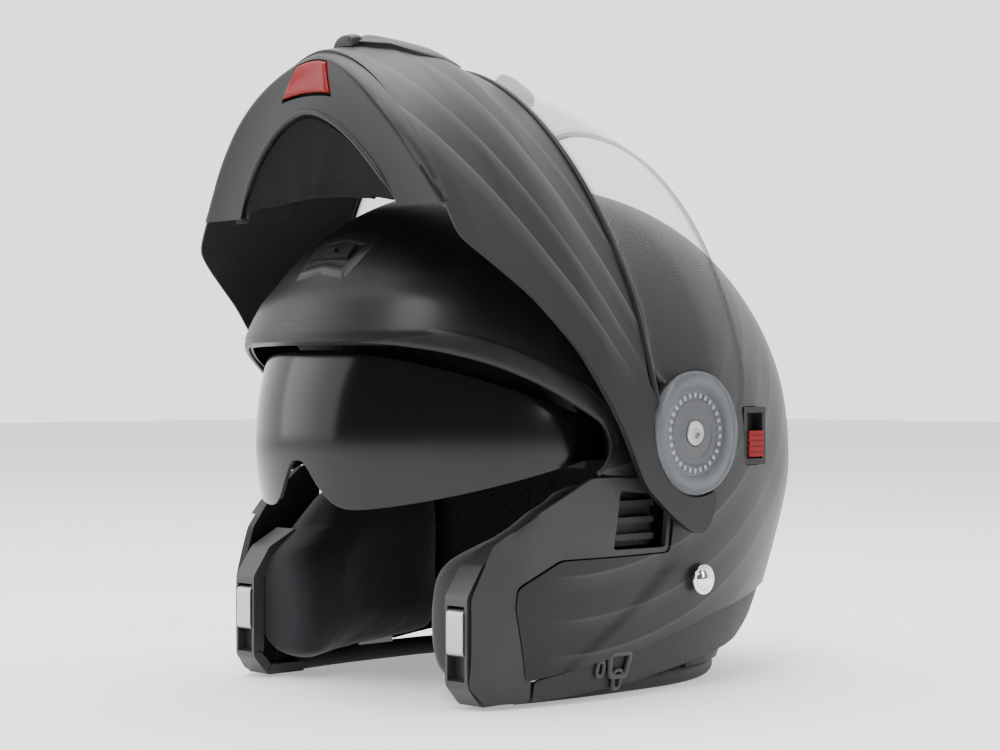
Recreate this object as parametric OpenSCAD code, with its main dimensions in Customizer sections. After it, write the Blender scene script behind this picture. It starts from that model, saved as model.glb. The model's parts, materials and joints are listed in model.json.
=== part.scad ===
/* [Outer shell] */
// Half width of the shell at the ears
shell_half_w = 119; // [114:0.5:119]
// Reach of the shell in front of the pivot line
shell_front = 163; // [160:1:165]
// Reach of the shell behind the pivot line
shell_back = 158; // [150:1:162]
// Height of the crown above the pivot line
crown_h = 128; // [126:1:132]
// Height of the pivot line above the base
pivot_h = 126; // [124:1:130]
// Thickness of the shell wall
shell_t = 4; // [3:0.5:5]

/* [Chin bar] */
// Half width over the arms of the chin bar
chin_half_w = 127; // [126:0.5:128]
// Thickness of the chin bar wall
chin_t = 3.5; // [3:0.1:3.6]
// Angle between the closed and the raised chin bar
raise_deg = 84; // [60:1:84]
// Radius of the round plate that each arm turns on
arm_disc_r = 27; // [22:1:27]

/* [Face shield] */
// Thickness of the clear face shield
shield_t = 2.6; // [2:0.1:2.8]
// Radius of the round boss at each end of the shield
boss_r = 30; // [26:1:30]

/* [Sun visor] */
// Half width of the drop-down sun visor
visor_half_w = 99; // [94:1:100]
// Radius of the visor about its own hinge line
visor_r = 133.5; // [130:0.5:134]
// Thickness of the visor
visor_t = 2.2; // [1.8:0.1:2.6]

/* [Padding] */
// Depth of the inner face of the foam liner below the outer surface
foam_depth = 36; // [30:1:38]
// Thickness of the crown pad
crown_pad_t = 10; // [6:1:12]

/* [Pivots] */
// Radius of the hub that each arm turns on
hub_r = 6; // [4:0.5:8]
// Play between a pin and its bore
pin_play = 0.3; // [0.2:0.05:0.5]

/* [Hidden] */

$fn = 48;
// Moves the whole helmet so that the origin is under the middle of its box
centre_shift = -1.24;
// Side-view coordinates are [forward, up] from the middle of the pivot line
pivot = [4, 1];
visor_pivot = [15, -3];
// Height at which the shell is widest, and the plan exponents of its rings
widest_z = -15;
side_curve = 2.25;
front_curve = 2.3;
back_curve = 2.1;
plan_curve = 2.15;
chin_curve = 1.75;
ring_n = 48;
far = 260;
gap = 0.3;

// Front reach of the chin bar and the shield at each height
chin_reach = [[-126, 197], [-108, 203], [-80, 206], [-50, 200], [-22, 190], [0, 184],
    [20, 178], [40, 169], [62, 156], [80, 143]];
chin_levels = [-126, -108, -94, -80, -65, -50, -36, -22, -10, 5, 20, 40, 62, 80];

// Side-view outlines
shell_hem = [[140, -119], [77, -111.5], [19, -101.6], [-29, -89], [-86, -80], [-190, -74]];
eye_port = [[far, 47], [130, 44], [100, 34], [62, 13], [54, 6], [50, -3], [52, -14], [60, -19],
    [86, -34], [108, -49], [119, -74], [119, -140], [far, -140]];
eye_trim = [[far, 52], [130, 49], [98, 39], [59, 18], [50, 9], [45.5, -3], [48, -17], [60, -19],
    [68, -24], [66, -22], [57, -13], [54, -3], [60, 7], [100, 30], [130, 39], [far, 42]];
jaw_outline = [[10, -57], [77, -58], [99, -70], [100, -79], [93, -112], [86, -117.5],
    [140, -117.5], [140, -78], [119, -74], [108, -49], [86, -34], [60, -19.5], [47, -19.5], [10, -22]];
guide_hole = [[13, -54], [47, -54], [44, -26], [13, -29]];
foam_outline = [[-190, -96], [-26, -96], [-26, -16], [44, -16], [44, 4], [58, 26], [98, 46],
    [130, 56], [200, 60], [200, 160], [-190, 160]];
pad_outline = [[-22, -28], [-22, -104], [58, -104], [66, -117], [111.6, -117], [111.6, -59],
    [107, -56], [62, -31], [44, -28]];
chin_outline = [[230, -108], [202, -108], [175, -112], [149, -116], [121, -118.5], [110, -118.5],
    [104, -114], [78, -88], [51, -68], [18, -52], [-17, -38], [-34, -20], [-43, -8], [-45, 0],
    [-40, 7], [-30, 12], [0, 12], [20, 4], [22, -24], [33, -28], [58, -23], [230, -22]];
arm_root = [[22, -24], [18, -52], [-17, -38], [-34, -20], [-43, -8], [-45, 0], [-40, 7],
    [-30, 12], [0, 12], [20, 4]];
boss_rim = [[pivot[0], pivot[1]], [60, -14], [60, 60], [-10, 60]];
shield_outline = [[230, -21], [60, -21], [38, -25], [30, -18], [22, -4], [4, 20], [8, 34], [25, 42],
    [50, 45], [78, 48], [104, 52], [130, 57], [144, 61], [230, 66]];

// Outline of everything below the hem of the shell, moved down by drop
function below_hem(drop) = concat([for (p = shell_hem) [p[0], p[1] - drop]],
    [[-190, -2 * pivot_h], [140, -2 * pivot_h]]);
function power(v, e) = sign(v) * pow(abs(v), e);
function fade(s, p) = pow(max(0, 1 - pow(s, p)), 1 / p);
function sink(z) = max(0, (widest_z - z) / (widest_z + pivot_h));
function rise(z, d) = (z - widest_z) / (crown_h - d - widest_z);

// Half width, front reach and back reach of the skin d below the outer surface
function skin_size(z, d) = z >= widest_z
    ? [(shell_half_w - d) * fade(rise(z, d), side_curve),
        (shell_front - d) * fade(rise(z, d), front_curve),
        (shell_back - d) * fade(rise(z, d), back_curve)]
    : [shell_half_w * (1 - 0.13 * pow(sink(z), 1.6)) - d,
        shell_front - d,
        shell_back * (1 - 0.30 * pow(sink(z), 1.7)) - d];
function front_plan(z) = lookup(z, [[-105, 3], [-50, 2.4], [-20, plan_curve]]);
function skin_ring(z, d) = let (size = skin_size(z, d)) [for (i = [0 : ring_n - 1])
    let (a = i * 360 / ring_n, p = cos(a) > 0 ? front_plan(z) : plan_curve,
        reach = cos(a) > 0 ? size[1] : size[2])
    [size[0] * power(sin(a), 2 / p), -reach * power(cos(a), 2 / p), z]];
function skin_levels(low, d) = concat(
    [for (k = [0 : 4]) low + (widest_z - low) * k / 5],
    [for (k = [0 : 10]) widest_z + (crown_h - d - widest_z) * pow(sin(k * 8.85), 2 / side_curve)]);
function chin_ring(z, d) = concat([for (i = [-21 : 21])
    let (a = i * 90 / 21)
    [(chin_half_w - d) * power(sin(a), 2 / chin_curve),
        -(lookup(z, chin_reach) - d) * power(cos(a), 2 / chin_curve), z]],
    [[chin_half_w - d, 80 + d, z], [-chin_half_w + d, 80 + d, z]]);
function visor_fade(x) = fade(abs(x) / visor_half_w, 2.2);

// Solid through a stack of rings that all have the same number of points
module loft(rings) {
    n = len(rings[0]);
    m = len(rings);
    sides = [for (k = [0 : m - 2], i = [0 : n - 1], half = [0, 1])
        let (j = (i + 1) % n)
        half == 0
            ? [k * n + i, (k + 1) * n + i, (k + 1) * n + j]
            : [k * n + i, (k + 1) * n + j, k * n + j]];
    caps = [[for (i = [0 : n - 1]) i], [for (i = [n - 1 : -1 : 0]) (m - 1) * n + i]];
    points = [for (ring = rings, p = ring) p];
    polyhedron(points, concat(sides, caps));
}
// Everything within the outer surface, down to the height low
module skin(d, low) {
    loft([for (z = skin_levels(low, d)) skin_ring(z, d)]);
}
module skin_wall(outer, inner, low) {
    difference() {
        skin(outer, low);
        skin(inner, low - 0.5);
    }
}
module chin_block(d) {
    loft([for (z = chin_levels) chin_ring(z, d)]);
}
module chin_wall(outer, inner) {
    difference() {
        chin_block(outer);
        translate([0, 0, -0.01]) chin_block(inner);
        translate([0, 0, 0.01]) chin_block(inner);
    }
}
// Side-view outline carried across the helmet, or across one half of it
module across(outline) {
    rotate([0, 0, -90])
        rotate([90, 0, 0])
            linear_extrude(2 * far, center = true)
                polygon(outline);
}
module span(outline, x0, x1) {
    translate([x1, 0, 0])
        rotate([0, 0, -90])
            rotate([90, 0, 0])
                linear_extrude(x1 - x0)
                    polygon(outline);
}
// Rod along X at a side-view point, from x0 to x1
module rod(at, r, x0, x1) {
    translate([x0, -at[0], at[1]])
        rotate([0, 90, 0])
            cylinder(r = r, h = x1 - x0);
}
module mirrored(side) {
    if (side > 0) children();
    if (side < 0) mirror([1, 0, 0]) children();
}
module placed() {
    translate([0, centre_shift, pivot_h]) children();
}
// Turns pieces drawn in the closed position up to the raised one
module raised() {
    placed()
        translate([0, -pivot[0], pivot[1]])
            rotate([-raise_deg, 0, 0])
                translate([0, pivot[0], -pivot[1]])
                    children();
}

// ---- Shell, trims and linings ----
module outer_shell() {
    color("#2b2d30") placed() difference() {
        skin_wall(0, shell_t, -118);
        across(below_hem(0));
        across(eye_port);
        across(jaw_outline);
        rod(pivot, hub_r + 0.05, -far, far);
        translate([50, 45.4, -16.2]) cube([far, 17.2, 29.4]);
        rod([-12, -71], 4.2, -far, far);
        vent_place(0) cube([42, 40, 15], center = true);
        rear_place() cube([66, 60, 12], center = true);
    }
}
rim_low = [for (p = skin_ring(-pivot_h, 1.2)) [p[0], p[1]]];
module lower_rim() {
    color("#141414") placed() difference() {
        translate([0, 0, -pivot_h]) linear_extrude(pivot_h - 117.4) polygon(rim_low);
        translate([0, 0, -pivot_h - 1])
            linear_extrude(12)
                polygon([for (p = skin_ring(-pivot_h, 7)) [p[0], p[1]]]);
        translate([0, -106 - far / 2, -pivot_h]) cube([2 * far, far, 40], center = true);
    }
}
module neck_trim() {
    color("#1a1a1b") placed() difference() {
        intersection() {
            skin_wall(1.6, shell_t + 0.5, -117);
            across(below_hem(0.4));
        }
        across(jaw_outline);
        translate([0, -86 - far / 2, -pivot_h]) cube([2 * far, far, 60], center = true);
    }
}
module brow_trim() {
    color("#101010") placed() difference() {
        intersection() {
            skin_wall(-0.3, shell_t + 3, -60);
            across(eye_trim);
        }
        difference() {
            skin_wall(-3, shell_t + gap, -70);
            across([for (p = eye_port) [p[0] + gap, p[1] + (p[1] > -4 ? -gap : gap)]]);
        }
        across(jaw_outline);
    }
}
module visor_sweep(d) {
    translate([0, -visor_pivot[0], visor_pivot[1]])
        rotate([0, 90, 0])
            rotate_extrude($fn = 48)
                polygon(concat([[0, -visor_half_w - d]],
                    [for (i = [-10 : 10]) let (x = visor_half_w * sin(i * 9) * 0.995)
                        [max(0.5, visor_r * visor_fade(x) + d), x + d * sin(i * 9)]],
                    [[0, visor_half_w + d]]));
}
module foam_liner() {
    color("#3a3a3c") placed() difference() {
        intersection() {
            skin_wall(shell_t + 0.8, foam_depth, -96);
            across(foam_outline);
        }
        intersection() {
            difference() {
                skin(-4, -50);
                visor_sweep(-6);
            }
            across([[-10, -40], [-10, 8], [60, 140], [240, 140], [240, -40]]);
        }
        translate([105, 45, -17]) cube([20, 18, 31]);
    }
}
module crown_pad() {
    color("#202227") placed() difference() {
        skin_wall(foam_depth + 0.6, foam_depth + crown_pad_t, -20);
        translate([0, 0, 6 - far]) cube(2 * far, center = true);
        translate([0, -118, 0]) cube([60, 40, 40], center = true);
    }
}
module cheek_pad(side) {
    color("#23262d") placed() mirrored(side) intersection() {
        difference() {
            skin(9.5, -121);
            skin(42, -122);
        }
        span(pad_outline, 50, 99.8);
    }
}
module neck_roll() {
    color("#1f2024") placed() intersection() {
        difference() {
            skin(9.6, -122);
            skin(34, -123);
        }
        translate([0, 100, -107]) cube([240, 150, 20], center = true);
    }
}
module jaw_cover(side) {
    color("#17181a") placed() mirrored(side) difference() {
        intersection() {
            skin_wall(2, shell_t + 1, -117.2);
            span(jaw_outline, 20, 140);
        }
        span(guide_hole, 20, 140);
        translate([0, -118.5 - far / 2, 0]) cube([3 * far, far, 3 * far], center = true);
        span([[9, -58.5], [77, -58.5], [80, -58], [9, -56.7]], 20, 140);
        span([[112, -125], [119, -125], [119, -61], [112, -61]], 73, 85.8);
    }
}
module jaw_front(side) {
    color("#191a1b") placed() mirrored(side) difference() {
        translate([74, -118.8, -124]) cube([11.4, 6.5, 62]);
        translate([76.5, -120, -101]) cube([7.4, 3.5, 23]);
        translate([76.5, -120, -114]) cube([7.4, 5, 10]);
        span([[108, -49], [130, -49], [130, -90], [119.5, -74]], 60, 100);
    }
}
module striker_plate(side) {
    color("#b9bcbf") placed() mirrored(side) difference() {
        translate([76.7, -119.5, -100.8]) cube([7, 2.8, 22.6]);
        translate([80.2, -110, -89.5]) rotate([90, 0, 0]) cylinder(r = 1.6, h = 20);
    }
}
module arm_guide(side) {
    color("#202123") placed() mirrored(side) {
        translate([102, -46, -53]) cube([3, 32, 26]);
        for (k = [0 : 2]) {
            translate([104.9, -44, -50 + k * 8]) cube([4.2, 28, 3]);
        }
    }
}
// ---- Straps ----
module strap_rivets() {
    color("#d8dadc") placed() for (side = [-1, 1]) mirrored(side) {
        rod([-12, -71], 4, 106, 117.5);
        rod([-12, -71], 7, 115, 117.4);
    }
}
module chin_strap(side) {
    color("#121212") placed() mirrored(side) difference() {
        translate([100.5, -4, -105]) cube([2.2, 22, 42]);
        rod([-12, -71], 4.3, 60, 130);
    }
}
module strap_buckle() {
    color("#1b1b1b") placed() difference() {
        translate([80, -44, -117]) cube([16, 34, 10]);
        translate([84, -50, -114]) cube([8, 30, 4.5]);
    }
}
module strap_tongue() {
    color("#c3c6c9") placed() {
        translate([-94, -40, -116]) cube([12, 24, 4]);
        for (k = [0 : 7]) translate([-93, -38 + k * 2.6, -112.1]) cube([10, 1.2, 1.2]);
    }
}
// ---- Vents ----
module rear_place() {
    translate([0, 133, 60]) rotate([24, 0, 0]) children();
}
module rear_vent() {
    color("#151515") placed() difference() {
        intersection() {
            rear_place() cube([64, 58, 10], center = true);
            skin_wall(-2, shell_t, -20);
        }
        rear_place() for (k = [-1, 1]) translate([k * 15, 0, 0]) cube([22, 80, 3], center = true);
    }
}
module vent_place(out) {
    translate([0, -124.4, 87]) rotate([-42, 0, 0]) translate([0, -out, 0]) children();
}
module forehead_vent_base() {
    color("#151617") placed() difference() {
        intersection() {
            vent_place(0) cube([40, 40, 13], center = true);
            skin_wall(-0.4, shell_t, -20);
        }
        vent_place(0) cube([22, 60, 4], center = true);
    }
}
module forehead_vent_slider() {
    color("#232527") placed() vent_place(1) {
        translate([-14, -1.6, -4.4]) cube([28, 1.6, 8.8]);
        translate([-3.5, -3.2, -1.2]) cube([7, 2, 2.4]);
    }
}
// ---- Pivots and the sun visor ----
module pivot_hub(side) {
    color("#9a9da0") placed() mirrored(side) {
        rod(pivot, hub_r, 112, 125.9);
        rod(pivot, 14, 110.5, 112.1);
    }
}
module visor_pin(side) {
    color("#8b8e91") placed() mirrored(side) {
        rod(visor_pivot, 3, 96, 110.3);
        rod(visor_pivot, 7, 105, 107);
    }
}
module visor_slider_frame() {
    color("#0f0f10") placed() difference() {
        translate([106, 45.6, -16]) cube([8.6, 16.8, 29]);
        translate([108, 48, -13]) cube([10, 12, 23]);
    }
}
module visor_slider() {
    color("#b3202a") placed() translate([108.4, 48.4, -12]) difference() {
        cube([7.4, 11.2, 13]);
        for (k = [0 : 3]) translate([6.8, -1, 2 + k * 2.8]) cube([2, 20, 1]);
    }
}
// The visor is a thin wall of rows of points, from the left edge to the right
visor_steps = 24;
ear_r = 22;
function visor_reach(x) = visor_r * visor_fade(x);
function ear_deg(x) = asin(min(1, 9 / visor_reach(x)));
function visor_low(x) = min(-17 + 13.5 * exp(-pow(x / 15, 2)), -ear_deg(x));
function visor_high(x) = max(19.2, ear_deg(x));
function visor_row(x, r, x_at) = [for (k = [0 : 6])
    let (a = visor_low(x) + (visor_high(x) - visor_low(x)) * k / 6)
    [x_at, -visor_pivot[0] - r * cos(a), visor_pivot[1] + r * sin(a)]];
module sun_visor() {
    xs = [for (i = [-visor_steps : visor_steps]) (visor_half_w - 1) * sin(i * 90 / visor_steps)];
    rows = [for (x = xs) let (outer = visor_row(x, visor_reach(x), x),
        inner = visor_row(x, visor_reach(x) - visor_t, x * (1 - visor_t / visor_half_w)))
        concat([for (k = [6 : -1 : 0]) outer[k]], inner)];
    color("#1b1d21") placed() difference() {
        union() {
            loft(rows);
            for (side = [-1, 1]) mirrored(side) {
                rod(visor_pivot, ear_r, visor_half_w - 3.1, visor_half_w - 1);
            }
        }
        rod(visor_pivot, 3 + pin_play, -far, far);
    }
}
// ---- Chin bar ----
module chin_bar_shell() {
    color("#2b2d30") raised() difference() {
        union() {
            intersection() {
                chin_wall(0, chin_t);
                across(chin_outline);
            }
            for (side = [-1, 1]) mirrored(side) {
                rod(pivot, arm_disc_r, 120.6, 124);
                span(arm_root, 120.6, 124);
            }
        }
        rod(pivot, hub_r + pin_play, -far, far);
        for (side = [-1, 1]) mirrored(side) rod(pivot, boss_r + 1.5, 124, far);
        translate([-24, -far, -84]) cube([48, far, 7]);
    }
}
base_outline = [[122, -119.2], [149, -116.6], [175, -112.6], [202.4, -108.6], [203, -110],
    [173, -123.5], [122, -123.5]];
module chin_bar_base() {
    color("#26282b") raised() difference() {
        intersection() {
            chin_wall(0.4, 30);
            across(base_outline);
        }
        tab_place() cube([32, 27, 30], center = true);
    }
}
module chin_bar_liner() {
    color("#101113") raised() intersection() {
        chin_wall(chin_t + 0.6, 18);
        across([[126, -106], [165, -103], [230, -98], [230, -86], [184, -86], [184, -74],
            [230, -74], [230, -32], [126, -32]]);
        cube([120, 3 * far, 3 * far], center = true);
    }
}
module chin_curtain() {
    color("#16171a") raised() intersection() {
        chin_wall(31, 78);
        across([[124, -125.8], [200, -125.8], [200, -123.8], [124, -123.8]]);
    }
}
module chin_vent_frame() {
    color("#1d1f21") raised() difference() {
        intersection() {
            chin_wall(-4, -0.2);
            translate([-30, -far, -98]) cube([60, far, 74]);
        }
        translate([-21, -far, -82]) cube([42, far, 50]);
    }
}
module chin_vent_slider() {
    color("#141516") raised() intersection() {
        chin_wall(-7, -4.4);
        translate([-9, -far, -95]) cube([18, far, 10]);
    }
}
module gear_plate(side) {
    color("#7f8285") raised() mirrored(side) difference() {
        union() {
            rod(pivot, 21, 124.15, 124.5);
            rod(pivot, 13, 124.15, 125.2);
        }
        rod(pivot, hub_r + pin_play, 100, 140);
    }
}
module hook_housing(side) {
    color("#1c1d1f") raised() mirrored(side) difference() {
        intersection() {
            translate([72.5, -134, -104]) cube([12.5, 11, 28]);
            chin_block(chin_t + gap);
        }
        translate([75.2, -140, -110]) cube([6.6, 30, 31]);
    }
}
hook_axis = [131, -86];
module latch_hook(side) {
    color("#a9adb0") raised() mirrored(side) {
        rod(hook_axis, 3.4, 75.8, 81.2);
        span([[128.4, -86], [133.6, -86], [131.6, -104], [121, -106.5], [121, -102.6], [127.2, -100.6]],
            76.2, 80.8);
    }
}
tab_tilt = 26.6;
module tab_place() {
    translate([0, -188, -116.5]) rotate([-tab_tilt, 0, 0]) children();
}
module release_tab() {
    color("#b3202a") raised() tab_place() {
        translate([-14.5, -11, -2.2]) cube([29, 22, 3.2]);
        translate([-11, 5, -3.6]) cube([22, 5, 1.5]);
    }
}
// ---- Face shield ----
module face_shield() {
    color([0.75, 0.8, 0.84, 0.45]) raised() difference() {
        union() {
            difference() {
                intersection() {
                    chin_wall(-0.2, shield_t - 0.2);
                    across(shield_outline);
                }
                rod(pivot, boss_r - 1.5, -far, far);
            }
            for (side = [-1, 1]) mirrored(side) {
                rod(pivot, boss_r, 125.6, 128);
                intersection() {
                    difference() {
                        rod(pivot, boss_r, 119.8, 127);
                        rod(pivot, boss_r - 2.5, 100, 130);
                    }
                    span(boss_rim, 100, 140);
                }
            }
        }
        for (side = [-1, 1]) mirrored(side) rod(pivot, hub_r + pin_play, 100, 126.4);
    }
}
module shield_tab() {
    color([0.7, 0.74, 0.78, 0.6]) raised() intersection() {
        chin_wall(-7, -0.4);
        translate([24, -far, -19.5]) cube([26, far, 6]);
    }
}

outer_shell();
lower_rim();
neck_trim();
brow_trim();
foam_liner();
crown_pad();
cheek_pad(1);  // cheek_pad_left
cheek_pad(-1);  // cheek_pad_right
neck_roll();
jaw_cover(1);  // jaw_cover_left
jaw_cover(-1);  // jaw_cover_right
jaw_front(1);  // jaw_front_left
jaw_front(-1);  // jaw_front_right
striker_plate(1);  // striker_plate_left
striker_plate(-1);  // striker_plate_right
arm_guide(1);  // arm_guide_left
arm_guide(-1);  // arm_guide_right
strap_rivets();
chin_strap(1);  // chin_strap_left
chin_strap(-1);  // chin_strap_right
strap_buckle();
strap_tongue();
rear_vent();
forehead_vent_base();
forehead_vent_slider();
pivot_hub(1);  // pivot_hub_left
pivot_hub(-1);  // pivot_hub_right
visor_pin(1);  // visor_pin_left
visor_pin(-1);  // visor_pin_right
visor_slider_frame();
visor_slider();
sun_visor();
chin_bar_shell();
chin_bar_base();
chin_bar_liner();
chin_curtain();
chin_vent_frame();
chin_vent_slider();
gear_plate(1);  // gear_plate_left
gear_plate(-1);  // gear_plate_right
hook_housing(1);  // hook_housing_left
hook_housing(-1);  // hook_housing_right
latch_hook(1);  // latch_hook_left
latch_hook(-1);  // latch_hook_right
release_tab();
face_shield();
shield_tab();
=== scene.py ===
import json
import math
import bpy
import bmesh
import numpy as np
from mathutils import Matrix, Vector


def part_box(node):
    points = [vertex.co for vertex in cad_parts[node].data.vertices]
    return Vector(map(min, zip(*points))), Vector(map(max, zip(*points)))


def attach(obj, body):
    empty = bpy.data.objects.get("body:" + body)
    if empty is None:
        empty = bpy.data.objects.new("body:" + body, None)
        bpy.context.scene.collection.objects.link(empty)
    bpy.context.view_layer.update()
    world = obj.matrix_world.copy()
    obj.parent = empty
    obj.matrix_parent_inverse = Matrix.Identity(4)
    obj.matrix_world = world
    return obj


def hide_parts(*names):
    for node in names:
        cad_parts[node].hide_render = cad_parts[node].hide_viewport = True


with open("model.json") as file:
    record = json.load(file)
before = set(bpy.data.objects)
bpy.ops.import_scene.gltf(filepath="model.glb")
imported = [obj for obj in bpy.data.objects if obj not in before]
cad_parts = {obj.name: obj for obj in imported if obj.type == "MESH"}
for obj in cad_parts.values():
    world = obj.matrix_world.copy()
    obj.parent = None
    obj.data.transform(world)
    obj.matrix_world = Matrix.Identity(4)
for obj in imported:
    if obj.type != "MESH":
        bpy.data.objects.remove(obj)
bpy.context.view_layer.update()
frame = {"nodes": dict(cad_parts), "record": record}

# Camera: a long lens at the height of the helmet's middle, off its front left quarter,
# with the helmet's hinge line as the point that it is set out from.
joints = {joint["name"]: joint for joint in frame["record"]["behaviour"]["joints"]}
hinge_y, hinge_z = joints["chin_bar_hinge"]["pos_m"][1:]
camera_data = bpy.data.cameras.new("camera")
camera_data.lens = 79.0
camera_data.sensor_width = 36.0
camera_data.shift_y = 0.005
camera = bpy.data.objects.new("camera", camera_data)
bpy.context.scene.collection.objects.link(camera)
camera.location = (0.820, hinge_y - 0.8015, hinge_z + 0.0255)
camera.rotation_euler = (math.radians(90), 0, math.radians(46))
bpy.context.scene.camera = camera


# Studio: four soft panels round and above the helmet, one of them set for the sun visor to
# mirror, under a sky that is bright behind the helmet and dim in front of it.
def panel_light(name, place, target, width, height, watts):
    data = bpy.data.lights.new(name, "AREA")
    data.shape = "RECTANGLE"
    data.size = width
    data.size_y = height
    data.energy = watts
    lamp = bpy.data.objects.new(name, data)
    bpy.context.scene.collection.objects.link(lamp)
    lamp.location = place
    aim = np.array(target, float) - np.array(place, float)
    flat = math.hypot(aim[0], aim[1])
    lamp.rotation_euler = (math.atan2(flat, -aim[2]), 0, math.atan2(aim[1], aim[0]) - math.pi / 2)


panel_light("key_panel", (0.7, -1.3, 2.2), (0, 0, 0.15), 0.9, 1.2, 40)
panel_light("side_panel", (1.8, 0.5, 1.0), (0, 0, 0.15), 0.5, 1.4, 16)
panel_light("top_panel", (-0.2, 0.1, 1.7), (0, 0, 0), 1.4, 1.4, 30)
panel_light("visor_panel", (-1.03, -1.23, 0.80), (0, 0, 0.15), 1.4, 1.5, 15)
world = bpy.data.worlds.new("studio")
world.use_nodes = True
sky = world.node_tree
ray = sky.nodes.new("ShaderNodeTexCoord")
across_sky = sky.nodes.new("ShaderNodeVectorMath")
across_sky.operation = "DOT_PRODUCT"
across_sky.inputs[1].default_value = (-0.72, 0.69, 0.0)
glow = sky.nodes.new("ShaderNodeMapRange")
glow.interpolation_type = "SMOOTHSTEP"
for socket, value in (("From Min", -0.25), ("From Max", 0.35), ("To Min", 0.16), ("To Max", 2.1)):
    glow.inputs[socket].default_value = value
sky.nodes["Background"].inputs["Color"].default_value = (1, 1, 1, 1)
sky.links.new(ray.outputs["Generated"], across_sky.inputs[0])
sky.links.new(across_sky.outputs["Value"], glow.inputs["Value"])
sky.links.new(glow.outputs["Result"], sky.nodes["Background"].inputs["Strength"])
bpy.context.scene.world = world


# Outer shell: one moulded composite shell, painted matt black with fine grey streaks.
# It is drawn as stacked rounded rings and then trimmed to its eye port, jaws and hem.
HALF_WIDTH = 119.0
FRONT = 163.0
BACK = 158.0
CROWN = 128.0
BASE = 126.0
WIDEST = -15.0
SHELL_WALL = 4.0
SIDE_ROUND = 2.25
FRONT_ROUND = 2.3
BACK_ROUND = 2.1
PLAN_ROUND = 2.15
SIDE_PIVOT = (4.0, 1.0)


def place(points):
    """Points as (left, forward, up) in millimetres from the hinge's middle, in metres."""
    x, forward, up = np.moveaxis(np.asarray(points, float), -1, 0)
    y = hinge_y + (SIDE_PIVOT[0] - forward) / 1000
    z = hinge_z + (up - SIDE_PIVOT[1]) / 1000
    return np.stack([x / 1000, y, z], -1)


def power(value, exponent):
    return np.sign(value) * np.abs(value) ** exponent


def fade(part, exponent):
    return np.clip(1 - np.clip(part, 0, 1) ** exponent, 0, 1) ** (1 / exponent)


def skin(turn, rise, depth):
    """The shell's surface at a plan angle and a height from -1 at the base to 1 at the crown."""
    top = CROWN - depth
    dome = WIDEST + (top - WIDEST) * np.sin(np.clip(rise, 0, 1) * math.pi / 2) ** (2 / SIDE_ROUND)
    up = np.where(rise >= 0, dome, WIDEST + rise * (WIDEST + BASE))
    part = np.clip((up - WIDEST) / (top - WIDEST), 0, 1)
    sink = np.clip(-rise, 0, 1)
    side = np.where(rise >= 0, (HALF_WIDTH - depth) * fade(part, SIDE_ROUND),
                    HALF_WIDTH * (1 - 0.13 * sink ** 1.6) - depth)
    front = np.where(rise >= 0, (FRONT - depth) * fade(part, FRONT_ROUND), FRONT - depth)
    back = np.where(rise >= 0, (BACK - depth) * fade(part, BACK_ROUND),
                    BACK * (1 - 0.30 * sink ** 1.7) - depth)
    plan = np.where(np.cos(turn) > 0, np.interp(up, [-105, -50, -20], [3, 2.4, PLAN_ROUND]), PLAN_ROUND)
    x = side * power(np.sin(turn), 2 / plan)
    forward = np.where(np.cos(turn) > 0, front, back) * power(np.cos(turn), 2 / plan)
    return np.stack([x, forward, up], -1)


def rounded(corners, radius):
    """A closed outline with each corner turned into a short curve."""
    corners = [np.array(p, float) for p in corners]
    line = []
    for before, corner, after in zip(corners[-1:] + corners[:-1], corners, corners[1:] + corners[:1]):
        reach_in = min(radius, np.linalg.norm(before - corner) * 0.45)
        reach_out = min(radius, np.linalg.norm(after - corner) * 0.45)
        start = corner + (before - corner) / np.linalg.norm(before - corner) * reach_in
        end = corner + (after - corner) / np.linalg.norm(after - corner) * reach_out
        for t in np.linspace(0, 1, 7):
            line.append((1 - t) ** 2 * start + 2 * t * (1 - t) * corner + t ** 2 * end)
    return np.array(line)


def within(outline, forward, up):
    """Distance to a side-view outline, positive inside it."""
    nearest = np.full(forward.shape, 1e9)
    odd = np.zeros(forward.shape, bool)
    for (f0, u0), (f1, u1) in zip(outline, np.roll(outline, -1, 0)):
        run, climb = f1 - f0, u1 - u0
        length = max(run * run + climb * climb, 1e-9)
        t = np.clip(((forward - f0) * run + (up - u0) * climb) / length, 0, 1)
        nearest = np.minimum(nearest, np.hypot(forward - f0 - t * run, up - u0 - t * climb))
        if u0 != u1:
            crosses = ((u0 > up) != (u1 > up)) & (forward < run * (up - u0) / (u1 - u0) + f0)
            odd ^= crosses
    return np.where(odd, nearest, -nearest)


def trimmed_grid(us, vs, keep):
    """Cells of a grid in (u, v), cut along the line where keep turns negative."""
    grid_u, grid_v = np.meshgrid(us, vs)
    kept = keep(grid_u, grid_v)
    spots, index, cells = [], {}, []

    def spot(a, b=None):
        key = (a, b) if b is None or a < b else (b, a)
        if key not in index:
            share = 0.0 if b is None else kept[key[0]] / (kept[key[0]] - kept[key[1]])
            end = key[0] if b is None else key[1]
            index[key] = len(spots)
            spots.append((grid_u[key[0]] * (1 - share) + grid_u[end] * share,
                          grid_v[key[0]] * (1 - share) + grid_v[end] * share))
        return index[key]

    inside = kept >= 0
    some = inside[:-1, :-1] | inside[1:, :-1] | inside[:-1, 1:] | inside[1:, 1:]
    for row, column in np.argwhere(some):
        ring = [(row, column), (row, column + 1), (row + 1, column + 1), (row + 1, column)]
        cell = []
        for a, b in zip(ring, ring[1:] + ring[:1]):
            if inside[a]:
                cell.append(spot(a))
            if inside[a] != inside[b]:
                cell.append(spot(a, b))
        if len(cell) > 2:
            cells.append(cell)
    return np.array(spots), cells


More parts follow.
